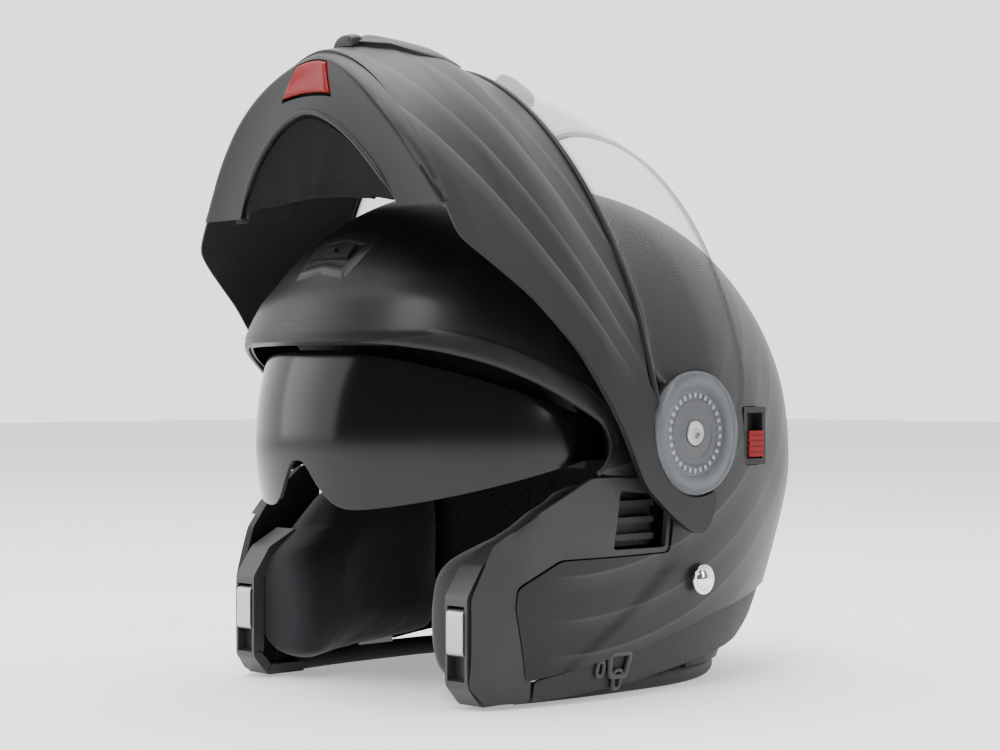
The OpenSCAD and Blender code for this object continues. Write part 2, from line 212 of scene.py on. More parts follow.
def new_piece(name, points, faces, smooth_deg=35, merge=0.00002):
    """A closed mesh piece from points in metres, with its normals turned outwards."""
    mesh = bpy.data.meshes.new(name)
    mesh.from_pydata([tuple(p) for p in points], [], faces)
    work = bmesh.new()
    work.from_mesh(mesh)
    bmesh.ops.remove_doubles(work, verts=work.verts, dist=merge)
    bmesh.ops.recalc_face_normals(work, faces=work.faces)
    work.to_mesh(mesh)
    work.free()
    piece = bpy.data.objects.new(name, mesh)
    bpy.context.scene.collection.objects.link(piece)
    mesh.shade_smooth()
    mesh.set_sharp_from_angle(angle=math.radians(smooth_deg))
    return piece


def walled(spots, cells, surface, depth):
    """Outer and inner skins over trimmed cells, joined round every free edge but where a
    full turn meets itself at the back."""
    outer = surface(spots[:, 0], spots[:, 1], 0.0)
    inner = surface(spots[:, 0], spots[:, 1], depth)
    count = len(spots)
    faces = [list(cell) for cell in cells]
    faces += [[i + count for i in reversed(cell)] for cell in cells]
    uses = {}
    for cell in cells:
        for a, b in zip(cell, cell[1:] + cell[:1]):
            uses[(a, b)] = uses.get((b, a), 0) + 1
    meets = np.abs(spots[:, 0]) > 3.14159
    for (a, b) in uses:
        if (b, a) not in uses and not (meets[a] and meets[b]):
            faces.append([b, a, a + count, b + count])
    return np.concatenate([outer, inner]), faces


def soften(piece, width_mm, steps=2, angle_deg=50):
    bevel = piece.modifiers.new("edges", "BEVEL")
    bevel.width = width_mm / 1000
    bevel.segments = steps
    bevel.limit_method = "ANGLE"
    bevel.angle_limit = math.radians(angle_deg)
    bevel.harden_normals = True
    bevel.use_clamp_overlap = True


def side_of(piece):
    """Forward and up of each of a piece's points, in millimetres from the hinge's middle."""
    points = np.empty(len(piece.data.vertices) * 3)
    piece.data.vertices.foreach_get("co", points)
    points = points.reshape(-1, 3)
    forward = SIDE_PIVOT[0] + (hinge_y - points[:, 1]) * 1000
    up = SIDE_PIVOT[1] + (points[:, 2] - hinge_z) * 1000
    return forward, up


def lay_map(piece, across, along):
    """A map of the paint, one pair of numbers for each point of the piece."""
    layer = piece.data.uv_layers.new(name="paint")
    corners = np.empty(len(piece.data.loops), int)
    piece.data.loops.foreach_get("vertex_index", corners)
    layer.data.foreach_set("uv", np.stack([across[corners], along[corners]], -1).ravel())


def ease(low, high, value):
    t = np.clip((value - low) / (high - low), 0, 1)
    return t * t * (3 - 2 * t)


HEM = [(140, -119), (77, -111.5), (19, -101.6), (-29, -89), (-86, -80), (-200, -74)]
EYE_PORT = rounded([(260, 47), (130, 44), (100, 34), (62, 13), (54, 6), (50, -3), (52, -14),
                    (60, -19), (86, -34), (108, -49), (119, -74), (119, -140), (260, -140)], 8)
JAW = rounded([(10, -57), (77, -58), (99, -70), (100, -79), (93, -112), (86, -126),
               (160, -126), (160, -40), (108, -49), (60, -18), (47, -18.5), (10, -21)], 3)
BELOW_HEM = np.array(HEM + [(-200, -200), (140, -200)], float)


def crease_line(forward):
    return np.interp(forward, [9, 31, 54, 69, 84], [-63, -82, -98, -109, -120])


def skin_with_form(turn, rise, depth):
    """The skin with its pressed-in flank ahead of the crease and its raised brow."""
    flat = skin(turn, rise, depth)
    forward, up = flat[..., 1], flat[..., 2]
    flank = ease(-1.2, 1.2, up - crease_line(forward)) * ease(4, 14, forward)
    flank = flank * ease(-30, -58, up)
    tail = ease(-70, -100, forward) * ease(-60, -20, up) * ease(80, 20, up)
    brow = ease(44, 47, up) * ease(75, 62, up) * ease(90, 130, forward)
    return skin(turn, rise, depth + 1.6 * flank - 1.4 * tail - 1.5 * brow)


def shell_keep(turn, rise):
    flat = skin(turn, rise, 0.0)
    x, forward, up = flat[..., 0], flat[..., 1], flat[..., 2]
    kept = np.minimum(-within(EYE_PORT, forward, up), -within(BELOW_HEM, forward, up))
    kept = np.minimum(kept, -within(JAW, forward, up))
    slot = rounded([(-45.2, -16.4), (-62.8, -16.4), (-62.8, 13.4), (-45.2, 13.4)], 2.5)
    return np.where(x > 0, np.minimum(kept, -within(slot, forward, up)), kept)


turns = np.linspace(-math.pi, math.pi, 337)
rises = np.concatenate([np.linspace(-0.98, 0, 58)[:-1], np.linspace(0, 1, 84) ** 0.96])
spots, cells = trimmed_grid(turns, rises, shell_keep)
points, faces = walled(spots, cells, skin_with_form, SHELL_WALL)
outer_shell = new_piece("outer_shell_painted", place(points), faces)
shell_forward, shell_up = side_of(outer_shell)
sweep_radius = np.hypot(shell_forward - 75, shell_up - 120)
lay_map(outer_shell, (sweep_radius - 120) / 130, shell_forward / 100)
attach(outer_shell, "helmet_shell")
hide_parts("outer_shell")


class Wire:
    """One output of a node, with the sums and products that a finish is worked out from."""

    def __init__(self, finish, socket):
        self.finish = finish
        self.socket = socket

    def math(self, operation, *others):
        return self.finish.add("ShaderNodeMath", {"operation": operation}, [self, *others])

    def __add__(self, other):
        return self.math("ADD", other)

    def __mul__(self, other):
        return self.math("MULTIPLY", other)

    def __sub__(self, other):
        return self.math("SUBTRACT", other)

    def __rsub__(self, other):
        return self.finish.add("ShaderNodeMath", {"operation": "SUBTRACT"}, [other, self])

    __radd__ = __add__
    __rmul__ = __mul__


class Finish:
    """A material being built: a node tree that ends in one surface shader."""

    def __init__(self, name):
        self.material = bpy.data.materials.new(name)
        self.material.use_nodes = True
        self.tree = self.material.node_tree
        self.shader = self.tree.nodes["Principled BSDF"]

    def add(self, kind, settings=None, sockets=None, output=0):
        node = self.tree.nodes.new(kind)
        for key, value in (settings or {}).items():
            if key == "stops":
                ramp = node.color_ramp
                while len(ramp.elements) < len(value):
                    ramp.elements.new(0.5)
                for element, (spot_at, grey) in zip(ramp.elements, value):
                    element.position = spot_at
                    element.color = grey if len(np.shape(grey)) else (grey, grey, grey, 1)
            else:
                setattr(node, key, value)
        pairs = sockets.items() if isinstance(sockets, dict) else enumerate(sockets or [])
        for key, value in pairs:
            self.feed(node.inputs[key], value)
        return Wire(self, node.outputs[output])

    def feed(self, socket, value):
        """Links a wire to a socket, or sets a plain value on it."""
        if isinstance(value, Wire):
            self.tree.links.new(value.socket, socket)
        else:
            socket.default_value = value

    def place_on(self, scale):
        """Object coordinates in metres, times scale along each axis."""
        spot_at = self.add("ShaderNodeTexCoord", output=3)
        return self.add("ShaderNodeMapping", {}, {"Vector": spot_at, "Scale": scale})

    def noise(self, scale, detail=2.0, vector=None):
        where = vector or self.place_on((1, 1, 1))
        return self.add("ShaderNodeTexNoise", {}, {"Vector": where, "Scale": scale, "Detail": detail})

    def ramp(self, value, stops):
        return self.add("ShaderNodeValToRGB", {"stops": stops}, [value])

    def mix(self, share, first, second):
        node = self.tree.nodes.new("ShaderNodeMix")
        node.data_type = "RGBA"
        for key, value in ((0, share), (6, first), (7, second)):
            self.feed(node.inputs[key], value)
        return Wire(self, node.outputs[2])

    def surface(self, **sockets):
        for key, value in sockets.items():
            self.feed(self.shader.inputs[key.replace("_", " ")], value)
        return self

    def bumps(self, height, distance, strength=1.0):
        bump = self.add("ShaderNodeBump", {}, {"Height": height, "Distance": distance, "Strength": strength})
        return self.surface(Normal=bump)

    def on(self, *pieces_to_coat):
        for piece in pieces_to_coat:
            piece.data.materials.clear()
            piece.data.materials.append(self.material)


def streaked_paint(name, streaks_at, shown, grey, streak):
    """Matt clear coat over near-black, with grey streaks laid along the paint map. Each has
    one crisp edge and a soft wash behind it."""
    stops = [(0.0, 0)]
    for start, width, strength in streaks_at:
        stops += [(start, 0), (start + 0.005, strength), (start + 0.016, strength * 0.4), (start + width, 0)]
    paint = Finish(name)
    uv = paint.add("ShaderNodeUVMap", {"uv_map": "paint"})
    across = paint.add("ShaderNodeSeparateXYZ", {}, [uv])
    along = paint.add("ShaderNodeSeparateXYZ", {}, [uv], output=1)
    drift = paint.noise(9.0, 1.0)
    streaks = paint.ramp(across + (drift - 0.5) * 0.018, stops) * paint.ramp(along, shown)
    cloud = paint.noise(26.0, 3.0)
    grain = paint.noise(2200.0, 1.0)
    colour = paint.mix(streaks * (0.55 + cloud * 0.6), grey, streak)
    paint.surface(Base_Color=colour, Roughness=0.38 + cloud * 0.10, Specular_IOR_Level=0.24)
    paint.surface(Coat_Weight=0.10, Coat_Roughness=0.25)
    paint.bumps(grain, 0.000004, 0.3)
    return paint


shell_streaks = [(0.13, 0.05, 0.5), (0.25, 0.07, 0.7), (0.39, 0.05, 0.45), (0.50, 0.08, 0.8),
                 (0.66, 0.06, 0.6), (0.79, 0.09, 0.7), (0.91, 0.04, 0.4)]
shell_paint = streaked_paint("shell_paint_streaked", shell_streaks, [(0.55, 1), (0.85, 0)],
                             (0.0075, 0.0078, 0.0087, 1), (0.056, 0.061, 0.064, 1))
shell_paint.on(outer_shell)
soften(outer_shell, 0.7)


# Jaw covers: textured black plastic mouldings clipped over the front of each jaw,
# cut away behind for the ladder that the chin bar's arm runs down.
COVER_INSET = 2.0
COVER_WALL = 3.0
SIDES = ((1, "left"), (-1, "right"))
GUIDE_HOLE = rounded([(13, -54), (47, -54), (44, -26), (13, -29)], 1.5)


def jaw_keep(turn, rise):
    flat = skin(turn, rise, COVER_INSET)
    forward, up = flat[..., 1], flat[..., 2]
    edge = rounded([(10.6, -56.3), (77, -57.3), (98.2, -69.2), (99.2, -79), (92.2, -111.6), (88.4, -112.6),
                    (87.6, -123.4), (110, -123.4), (118.4, -115), (118.4, -74), (107.6, -49.6), (86, -34.8),
                    (60, -19.8), (46.4, -19.6), (10.6, -22.4)], 2.5)
    return np.minimum(within(edge, forward, up), -within(GUIDE_HOLE, forward, up))


def jaw_skin(turn, rise, depth):
    flat = skin(turn, rise, COVER_INSET)
    forward, up = flat[..., 1], flat[..., 2]
    facet = ease(92, 110, forward + 0.25 * (up + 60)) * 1.4
    return skin(turn, rise, COVER_INSET + facet + depth)


jaw_turns = np.linspace(0.45, 1.56, 150)
jaw_rises = np.linspace(-0.985, -0.01, 150)
spots, cells = trimmed_grid(jaw_turns, jaw_rises, jaw_keep)
points, faces = walled(spots, cells, jaw_skin, COVER_WALL)
grainy = Finish("jaw_cover_grain")
pebble = grainy.noise(900.0, 2.0)
pores = grainy.add("ShaderNodeTexVoronoi", {}, {"Vector": grainy.place_on((1, 1, 1)), "Scale": 1100.0})
blotch = grainy.noise(30.0, 3.0)
grainy.surface(Base_Color=grainy.mix(blotch, (0.012, 0.012, 0.0126, 1), (0.026, 0.026, 0.0272, 1)),
               Roughness=0.52 + pebble * 0.2)
grainy.bumps(pebble * 0.5 + pores * 0.6, 0.00018, 0.8)
for side, word in SIDES:
    mirrored = points * np.array([side, 1, 1])
    cover = new_piece("jaw_cover_" + word + "_moulding", place(mirrored), faces)
    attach(cover, "helmet_shell")
    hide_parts("jaw_cover_" + word)
    grainy.on(cover)
    soften(cover, 0.8)


# Neck trim: the soft black plastic skirt under the painted shell, inset all round
# and rolled in towards the rim that the helmet stands on.
TRIM_INSET = 1.8
TRIM_WALL = 3.0


def trim_keep(turn, rise):
    flat = skin(turn, rise, 1.6)
    forward, up = flat[..., 1], flat[..., 2]
    below = rounded([(86.6, -113.6), (77, -112), (19, -102), (-29, -89.4), (-86, -80.4), (-200, -74.4),
                     (-200, -101), (-86, -106), (-29, -113), (20, -119), (60, -122), (86.6, -123.4),
                     (86.6, -114)], 1.5)
    return within(below, forward, up)


def trim_skin(turn, rise, depth):
    flat = skin(turn, rise, 0.0)
    roll = ease(-94, -125, flat[..., 2]) * 6.0 * ease(60, -40, flat[..., 1])
    return skin(turn, rise, TRIM_INSET + roll + depth)


spots, cells = trimmed_grid(turns, np.linspace(-0.985, -0.5, 44), trim_keep)
points, faces = walled(spots, cells, trim_skin, TRIM_WALL)
neck_trim = new_piece("neck_trim_skirt", place(points), faces)
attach(neck_trim, "helmet_shell")
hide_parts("neck_trim")
skirt = Finish("neck_trim_grain")
weave = skirt.add("ShaderNodeTexVoronoi", {}, {"Vector": skirt.place_on((1, 1, 1)), "Scale": 520.0})
skirt_noise = skirt.noise(60.0, 3.0)
skirt.surface(Base_Color=skirt.mix(skirt_noise, (0.007, 0.007, 0.0074, 1), (0.018, 0.018, 0.019, 1)),
              Roughness=0.62 + skirt_noise * 0.15)
skirt.bumps(weave, 0.0003, 0.7)
skirt.on(neck_trim)
soften(neck_trim, 0.6)


# Lower rim: the soft roll round the neck opening, set in from the skirt, which the helmet
# stands on. It is a round bead carried along the shell's lower edge.
def ring_faces(count, sides, closed=False):
    """Faces between rings of points, with the two ends capped unless the rings run in a loop."""
    faces = []
    for k in range(count if closed else count - 1):
        for i in range(sides):
            j = (i + 1) % sides
            n = (k + 1) % count
            faces.append([k * sides + i, k * sides + j, n * sides + j, n * sides + i])
    if not closed:
        faces.append(list(range(sides))[::-1])
        faces.append([(count - 1) * sides + i for i in range(sides)])
    return faces


def swept(name, path, outwards, section, closed=False, sizes=1.0):
    """A section (outwards, across) carried along a path at its sizes, with closed ends."""
    path = np.asarray(path, float)
    tangent = np.roll(path, -1, 0) - np.roll(path, 1, 0) if closed else np.gradient(path, axis=0)
    tangent /= np.linalg.norm(tangent, axis=1)[:, None]
    out = outwards - tangent * np.sum(outwards * tangent, 1)[:, None]
    out /= np.linalg.norm(out, axis=1)[:, None]
    across = np.cross(tangent, out)
    section = np.asarray(section, float)
    sizes = np.broadcast_to(sizes, len(path))[:, None, None]
    rings = path[:, None] + sizes * (out[:, None] * section[None, :, :1]
                                     + across[:, None] * section[None, :, 1:2])
    return new_piece(name, rings.reshape(-1, 3), ring_faces(*rings.shape[:2], closed), smooth_deg=50)


def oval(wide, high, count=16):
    """An oval section in metres, from its half sizes in millimetres."""
    turn = np.linspace(0, 2 * math.pi, count, endpoint=False)
    return np.stack([wide * np.sin(turn), high * np.cos(turn)], -1) / 1000


rim_turns = np.linspace(1.12, 2 * math.pi - 1.12, 200)
rim_turns = np.arctan2(np.sin(rim_turns), np.cos(rim_turns))
rim_line = skin(rim_turns, np.full(200, -0.955), 15.0)
rim_line[:, 2] = -121.0
rim_pull = np.stack([rim_line[:, 0], -rim_line[:, 1], rim_line[:, 0] * 0], -1)
lower_rim = swept("lower_rim_roll", place(rim_line), rim_pull, oval(4.8, 5.0, 20))
skirt.on(lower_rim)
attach(lower_rim, "helmet_shell")
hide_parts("lower_rim")


# Brow trim: a soft black rubber gasket pressed over the edge of the eye port. It is one
# rolled section, which thins out at its two ends.
def skin_side(forward, up, depth):
    """How far out the skin is at a side-view point."""
    rise_part = np.clip((up - WIDEST) / (CROWN - depth - WIDEST), 0, 1)
    sink = np.clip((WIDEST - up) / (WIDEST + BASE), 0, 1)
    side = np.where(up >= WIDEST, (HALF_WIDTH - depth) * fade(rise_part, SIDE_ROUND),
                    HALF_WIDTH * (1 - 0.13 * sink ** 1.6) - depth)
    front = np.where(up >= WIDEST, (FRONT - depth) * fade(rise_part, FRONT_ROUND), FRONT - depth)
    plan = np.interp(up, [-105, -50, -20], [3, 2.4, PLAN_ROUND])
    return side * np.clip(1 - np.clip(forward / front, 0, 1) ** plan, 0, 1) ** (1 / plan)


def smooth_line(knots, count):
    """A smooth curve through knots, as count points equally spaced."""
    knots = np.array(knots, float)
    ends = np.vstack([2 * knots[0] - knots[1], knots, 2 * knots[-1] - knots[-2]])
    line = []
    for a, b, c, d in zip(ends, ends[1:], ends[2:], ends[3:]):
        for t in np.linspace(0, 1, 24, endpoint=False):
            line.append(0.5 * (2 * b + (c - a) * t + (2 * a - 5 * b + 4 * c - d) * t * t
                               + (3 * b - a - 3 * c + d) * t ** 3))
    line = np.array(line + [knots[-1]])
    run = np.concatenate([[0], np.cumsum(np.linalg.norm(np.diff(line, axis=0), axis=1))])
    even = np.linspace(0, run[-1], count)
    return np.stack([np.interp(even, run, line[:, k]) for k in range(line.shape[1])], -1)


def skin_path(line, depth):
    """A side-view line put onto both sides of the skin, left end first, and its outward pull."""
    line = np.asarray(line, float)
    x = skin_side(line[:, 0], line[:, 1], depth)
    left = np.stack([x, line[:, 0], line[:, 1]], -1)
    right = left[::-1] * np.array([-1, 1, 1])
    both = np.vstack([left, right[1:]])
    pull = np.stack([both[:, 0] * 1.7, -both[:, 1], both[:, 2] * 0.9], -1)
    return place(both), pull / np.linalg.norm(pull, axis=1)[:, None]


brow_knots = [(58.5, -17.2), (54, -13.5), (50.6, -7), (50.2, -0.5), (54, 6.5), (63, 13.5), (80, 24),
              (100, 34), (118, 40.5), (132, 44), (144, 46), (151.9, 46.6)]
brow_line = smooth_line(brow_knots, 150)
path, pull = skin_path(brow_line, 0.8)
section = []
for t in np.linspace(0, 2 * math.pi, 22, endpoint=False):
    section.append((0.0019 * power(np.sin(t), 0.75) - 0.0003, 0.0056 * power(np.cos(t), 0.8) + 0.0034))
end_part = np.minimum(np.arange(len(path)), np.arange(len(path))[::-1]) / 150
brow_trim = swept("brow_trim_gasket", path, pull, section, sizes=0.22 + 0.78 * ease(0.0, 0.35, end_part))
rubber = Finish("brow_rubber")
rubber_noise = rubber.noise(70.0, 3.0)
rubber.surface(Base_Color=rubber.mix(rubber_noise, (0.008, 0.008, 0.0085, 1), (0.016, 0.016, 0.017, 1)),
               Roughness=0.34 + rubber_noise * 0.16, Specular_IOR_Level=0.3)
rubber.bumps(rubber.noise(1500.0, 1.0), 0.00003, 0.6)
rubber.on(brow_trim)
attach(brow_trim, "helmet_shell")
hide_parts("brow_trim")


# Chin bar: a painted moulding that wraps round the face when it is shut. It is drawn shut,
# with a pressed crease along each arm and a round hole for the hinge works, then raised.
RAISED = math.radians(84)
CHIN_HALF_W = 127.0
CHIN_ROUND = 1.75
CHIN_WALL = 3.0
HINGE_HOLE = 31.0
CHIN_REACH = [(-126, 197), (-108, 203), (-80, 206), (-50, 200), (-22, 190), (0, 184), (20, 178),
              (40, 169), (62, 156), (80, 143)]


def chin(turn, up, depth):
    """The chin bar's outer surface at a plan angle; past a right angle it runs straight back."""
    held = np.clip(turn, -math.pi / 2, math.pi / 2)
    reach = np.interp(up, *zip(*CHIN_REACH)) - depth
    x = (CHIN_HALF_W - depth) * power(np.sin(held), 2 / CHIN_ROUND)
    forward = reach * np.clip(np.cos(held), 0, 1) ** (2 / CHIN_ROUND)
    forward = forward - (np.abs(turn) - np.abs(held)) * 80
    return np.stack([x, forward, up + 0 * x], -1)


def lift(points):
    """Closed points of the chin bar, turned up about the hinge line."""
    x, forward, up = np.moveaxis(np.asarray(points, float), -1, 0)
    f, g = forward - SIDE_PIVOT[0], up - SIDE_PIVOT[1]
    return np.stack([x, SIDE_PIVOT[0] + f * math.cos(RAISED) - g * math.sin(RAISED),
                     SIDE_PIVOT[1] + f * math.sin(RAISED) + g * math.cos(RAISED)], -1)


def shut(forward, up):
    """Forward and up of raised points, turned back to where they are with the bar shut."""
    f, g = forward - SIDE_PIVOT[0], up - SIDE_PIVOT[1]
    return (SIDE_PIVOT[0] + f * math.cos(RAISED) + g * math.sin(RAISED),
            SIDE_PIVOT[1] - f * math.sin(RAISED) + g * math.cos(RAISED))


def from_pivot(points):
    return np.hypot(points[..., 1] - SIDE_PIVOT[0], points[..., 2] - SIDE_PIVOT[1])


CHIN_SIDE = rounded([(230, -108), (202, -108), (175, -112), (149, -116), (121, -118.5), (110, -118.5),
                     (104, -114), (78, -88), (51, -68), (18, -52), (-17, -38), (-34, -20), (-43, -8),
                     (-45, 0), (-40, 7), (-30, 12), (0, 12), (20, 4), (22, -24), (33, -28), (58, -23),
                     (230, -22)], 7)


def chin_keep(turn, up):
    flat = chin(turn, up, 0.0)
    kept = within(CHIN_SIDE, flat[..., 1], up)
    return np.minimum(kept, np.where(np.abs(turn) > 1.2, from_pivot(flat) - HINGE_HOLE, 99))


def chin_form(turn, up, depth):
    flat = chin(turn, up, 0.0)
    forward = flat[..., 1]
    ridge = -52 - 12 * ease(30, 175, forward) + 10 * ease(150, 205, forward)
    below = ease(3, -26, up - ridge) * ease(20, 60, forward)
    above = ease(-1, 24, up - ridge) * ease(20, 60, forward)
    return chin(turn, up, depth + (2.0 * below + 1.1 * above) * (1 - 0.3 * depth))


chin_turns = np.concatenate([np.linspace(-2.15, -1.6, 26)[:-1], np.linspace(-1.6, 1.6, 260),
                             np.linspace(1.6, 2.15, 26)[1:]])
chin_ups = np.linspace(-121, 29, 108)
spots, cells = trimmed_grid(chin_turns, chin_ups, chin_keep)
points, faces = walled(spots, cells, chin_form, CHIN_WALL)
chin_shell = new_piece("chin_bar_painted", place(lift(points)), faces, smooth_deg=38)
bar_forward, bar_up = shut(*side_of(chin_shell))
arm_angle = -np.degrees(np.arctan2(bar_up - 22, bar_forward + 70))
lay_map(chin_shell, (arm_angle - 6) / 32, bar_forward / 100)
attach(chin_shell, "chin_bar")
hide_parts("chin_bar_shell")
bar_streaks = [(0.06, 0.03, 0.6), (0.16, 0.06, 0.9), (0.29, 0.04, 0.6), (0.42, 0.07, 1.0),
               (0.58, 0.05, 0.7), (0.72, 0.08, 0.9)]
bar_paint = streaked_paint("chin_bar_paint", bar_streaks, [(0.30, 0), (0.65, 1)],
                           (0.0085, 0.0088, 0.0100, 1), (0.070, 0.078, 0.081, 1))
bar_paint.on(chin_shell)
soften(chin_shell, 0.8)

# The bar's inner face is left as bare plastic.
INNER_FACE = 2.7
chin_shell.data.materials.append(grainy.material)
for face in chin_shell.data.polygons:
    x, y, z = face.center * 1000
    forward, up = shut(SIDE_PIVOT[0] + hinge_y * 1000 - y, SIDE_PIVOT[1] + z - hinge_z * 1000)
    reach = np.interp(up, *zip(*CHIN_REACH)) - INNER_FACE
    part = abs(x) / (CHIN_HALF_W - INNER_FACE)
    if (forward < 0 and part < 1) or part ** CHIN_ROUND + max(forward / reach, 0) ** CHIN_ROUND < 1:
        face.material_index = 1


# Chin bar base: the painted lower band of the bar, folded in under the chin, with a soft
# lip at its inner edge. It carries the red release tab in a cut-out at its middle.
BAND_WIDTH = 29.0
BAND_WALL = 3.0
drop_line = smooth_line([(118, -119.3), (135, -120.8), (155, -121.9), (173, -121.6), (188, -118.2),
                         (204, -110.5)], 90)
seam_line = np.array([(110, -118.5), (121, -118.5), (149, -116), (175, -112), (202, -108), (230, -108)])


def base_drop(forward):
    return np.interp(forward, drop_line[:, 0], drop_line[:, 1])


def base_form(turn, inward, depth):
    flat = chin(turn, np.full(np.shape(turn), -112.0), 2.0 + inward)
    flat[..., 2] = base_drop(flat[..., 1])
    seam = np.interp(flat[..., 1], seam_line[:, 0], seam_line[:, 1]) - 0.5
    roll = np.clip(1 - inward / 3.6, 0, 1) ** 2 * (seam - flat[..., 2])
    hollow = 0.8 * np.sin(np.clip(inward / BAND_WIDTH, 0, 1) * math.pi)
    flat[..., 2] += roll + hollow + depth
    return flat


def base_keep(turn, inward):
    flat = base_form(turn, inward, 0.0)
    inside = np.minimum(flat[..., 1] - 123.0, np.minimum(inward, BAND_WIDTH - inward) + 0.01)
    x, forward = np.abs(flat[..., 0]), flat[..., 1]
    taper = 18.2 - (forward - 178.8) * 0.40
    tab = np.minimum(taper - x, np.minimum(forward - 177.2 - 1.6 * (1 - (x / 17.6) ** 2),
                                           196.3 - 1.6 * (x / 11) ** 2 - forward))
    return np.minimum(inside, -tab)


spots, cells = trimmed_grid(np.linspace(-1.05, 1.05, 190), np.linspace(0, BAND_WIDTH, 24), base_keep)
points, faces = walled(spots, cells, base_form, BAND_WALL)
chin_base = new_piece("chin_bar_base_band", place(lift(points)), faces)
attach(chin_base, "chin_bar")
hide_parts("chin_bar_base")
band = Finish("base_band_paint")
band_noise = band.noise(40.0, 2.0)
band.surface(Base_Color=(0.0085, 0.0088, 0.0100, 1), Roughness=0.34 + band_noise * 0.10,
             Specular_IOR_Level=0.26)
band.bumps(band.noise(2200.0, 1.0), 0.00002, 0.5)
band.on(chin_base)
soften(chin_base, 0.7)


# Release tab: the red button that draws both latch hooks back, a softly domed tile
# with a finger hollow, sunk in the base.
def tab_form(across, along, depth):
    x = across * (17.6 - 6.8 * along)
    low_edge = 178.9 + 1.6 * (1 - across ** 2)
    high_edge = 195.7 - 1.6 * across ** 2
    forward = low_edge + (high_edge - low_edge) * along
    dish = 1.2 * np.exp(-((along - 0.5) / 0.3) ** 2) * (1 - across ** 2)
    edge = np.clip(1 - np.minimum(1 - np.abs(across), np.minimum(along, 1 - along) * 1.3) / 0.12, 0, 1) ** 2
    up = base_drop(forward) - 0.9 + dish + edge * 1.2 + depth
    return np.stack([x, forward, up], -1)


def whole(across, along):
    """Keeps every cell of a grid."""
    return across * 0 + 1.0


spots, cells = trimmed_grid(np.linspace(-1, 1, 41), np.linspace(0, 1, 31), whole)
points, faces = walled(spots, cells, tab_form, 2.4)
tab = new_piece("release_tab_button", place(lift(points)), faces)
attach(tab, "release_tab")
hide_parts("release_tab")
red = Finish("red_plastic")
red_grain = red.noise(900.0, 2.0)
red.surface(Base_Color=red.mix(red.noise(90.0, 2.0), (0.17, 0.0012, 0.0022, 1), (0.23, 0.0025, 0.0035, 1)),
            Roughness=0.30 + red_grain * 0.12, Specular_IOR_Level=0.22)
red.bumps(red_grain, 0.00003, 0.5)
red.on(tab, frame["nodes"]["visor_slider"])
soften(tab, 0.5)


# Tab well: the dark plastic tray behind the tab, which shows as the seam round it. It is
# deep enough for the tab's three millimetres of travel.
def well_form(across, along, depth):
    forward = 175.6 + along * 21.0
    return np.stack([across * (18.6 - 7.2 * along), forward, base_drop(forward) + 7.8 + depth], -1)


spots, cells = trimmed_grid(np.linspace(-1, 1, 25), np.linspace(0, 1, 19), whole)
points, faces = walled(spots, cells, well_form, 1.2)
well = new_piece("release_tab_well", place(lift(points)), faces)
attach(well, "chin_bar")
skirt.on(well)


# Shield seal: the soft black rubber strip along the chin bar's upper edge, which the
# shield shuts on, and a bead of the same rubber inside the base band.
def bead(name, shut_points, facing, section, sizes=1.0):
    """A bead on the raised bar, from its points with the bar shut. It faces up, 1, or down, -1."""
    pull = lift(shut_points + np.array([0, 0, facing])) - lift(shut_points)
    outwards = np.stack([pull[:, 0], -pull[:, 1], pull[:, 2]], -1)
    return swept(name, place(lift(shut_points)), outwards, section, sizes=sizes)


edge_turns = np.concatenate([np.linspace(-1.45, -0.02, 130), np.linspace(0.02, 1.45, 130)])
seal_points = chin(edge_turns, np.full(260, -22.0), 1.6)
seal_points[:, 2] = -22.2 - 1.5 * ease(70, 40, seal_points[:, 1])
seal = bead("shield_seal", seal_points, 1.0, oval(1.7, 2.3))
rubber.on(seal)
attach(seal, "chin_bar")

lip_points = chin(np.linspace(-0.92, 0.92, 220), np.full(220, -112.0), 30.2)
lip_points = lip_points[lip_points[:, 1] > 126.5]
lip_points[:, 2] = base_drop(lip_points[:, 1]) + 0.4
lip_end = np.minimum(np.arange(len(lip_points)), np.arange(len(lip_points))[::-1]) / 14
lip_sizes = 0.3 + 0.7 * ease(0, 1, lip_end)
lip = bead("base_lip_bead", lip_points, -1.0, oval(1.5, 1.5), lip_sizes)
rubber.on(lip)
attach(lip, "chin_bar")


# Chin vent: a smooth lens-shaped scoop that swells a few millimetres out of the front of
# the bar, and the small slider knob at its lower end that opens it.
def crowded(count):
    """Steps from -1 to 1 that crowd together at the two ends."""
    return np.sin(np.linspace(-1, 1, count) * math.pi / 2)


def chin_turn(x):
    """The plan angle at which the chin bar's outer surface is x out from the middle."""
    return np.sign(x) * np.arcsin(np.clip(np.abs(x) / CHIN_HALF_W, 0, 1) ** (CHIN_ROUND / 2))


def scoop_form(across, along, depth):
    up = -58 + along * 33
    wide = 25.0 * np.sqrt(np.clip(1 - along ** 2, 0, 1)) ** 0.9
    dome = (1 - np.clip(across ** 2 + along ** 2 * (1 - across ** 2), 0, 1)) ** 0.6
    lift_off = np.where(depth > 0, -2.2, 0.1 + 3.0 * dome)
    return chin(chin_turn(across * wide), up, -lift_off)


spots, cells = trimmed_grid(crowded(91), crowded(91) * 0.999, whole)
points, faces = walled(spots, cells, scoop_form, 1.0)
scoop = new_piece("chin_vent_scoop", place(lift(points)), faces, smooth_deg=50)
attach(scoop, "chin_bar")
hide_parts("chin_vent_frame")
satin = Finish("scoop_satin")
satin_noise = satin.noise(50.0, 2.0)
satin.surface(Base_Color=(0.008, 0.0083, 0.0092, 1), Roughness=0.30 + satin_noise * 0.10,
              Specular_IOR_Level=0.25)
satin.bumps(satin.noise(1800.0, 1.0), 0.00002, 0.4)
satin.on(scoop)


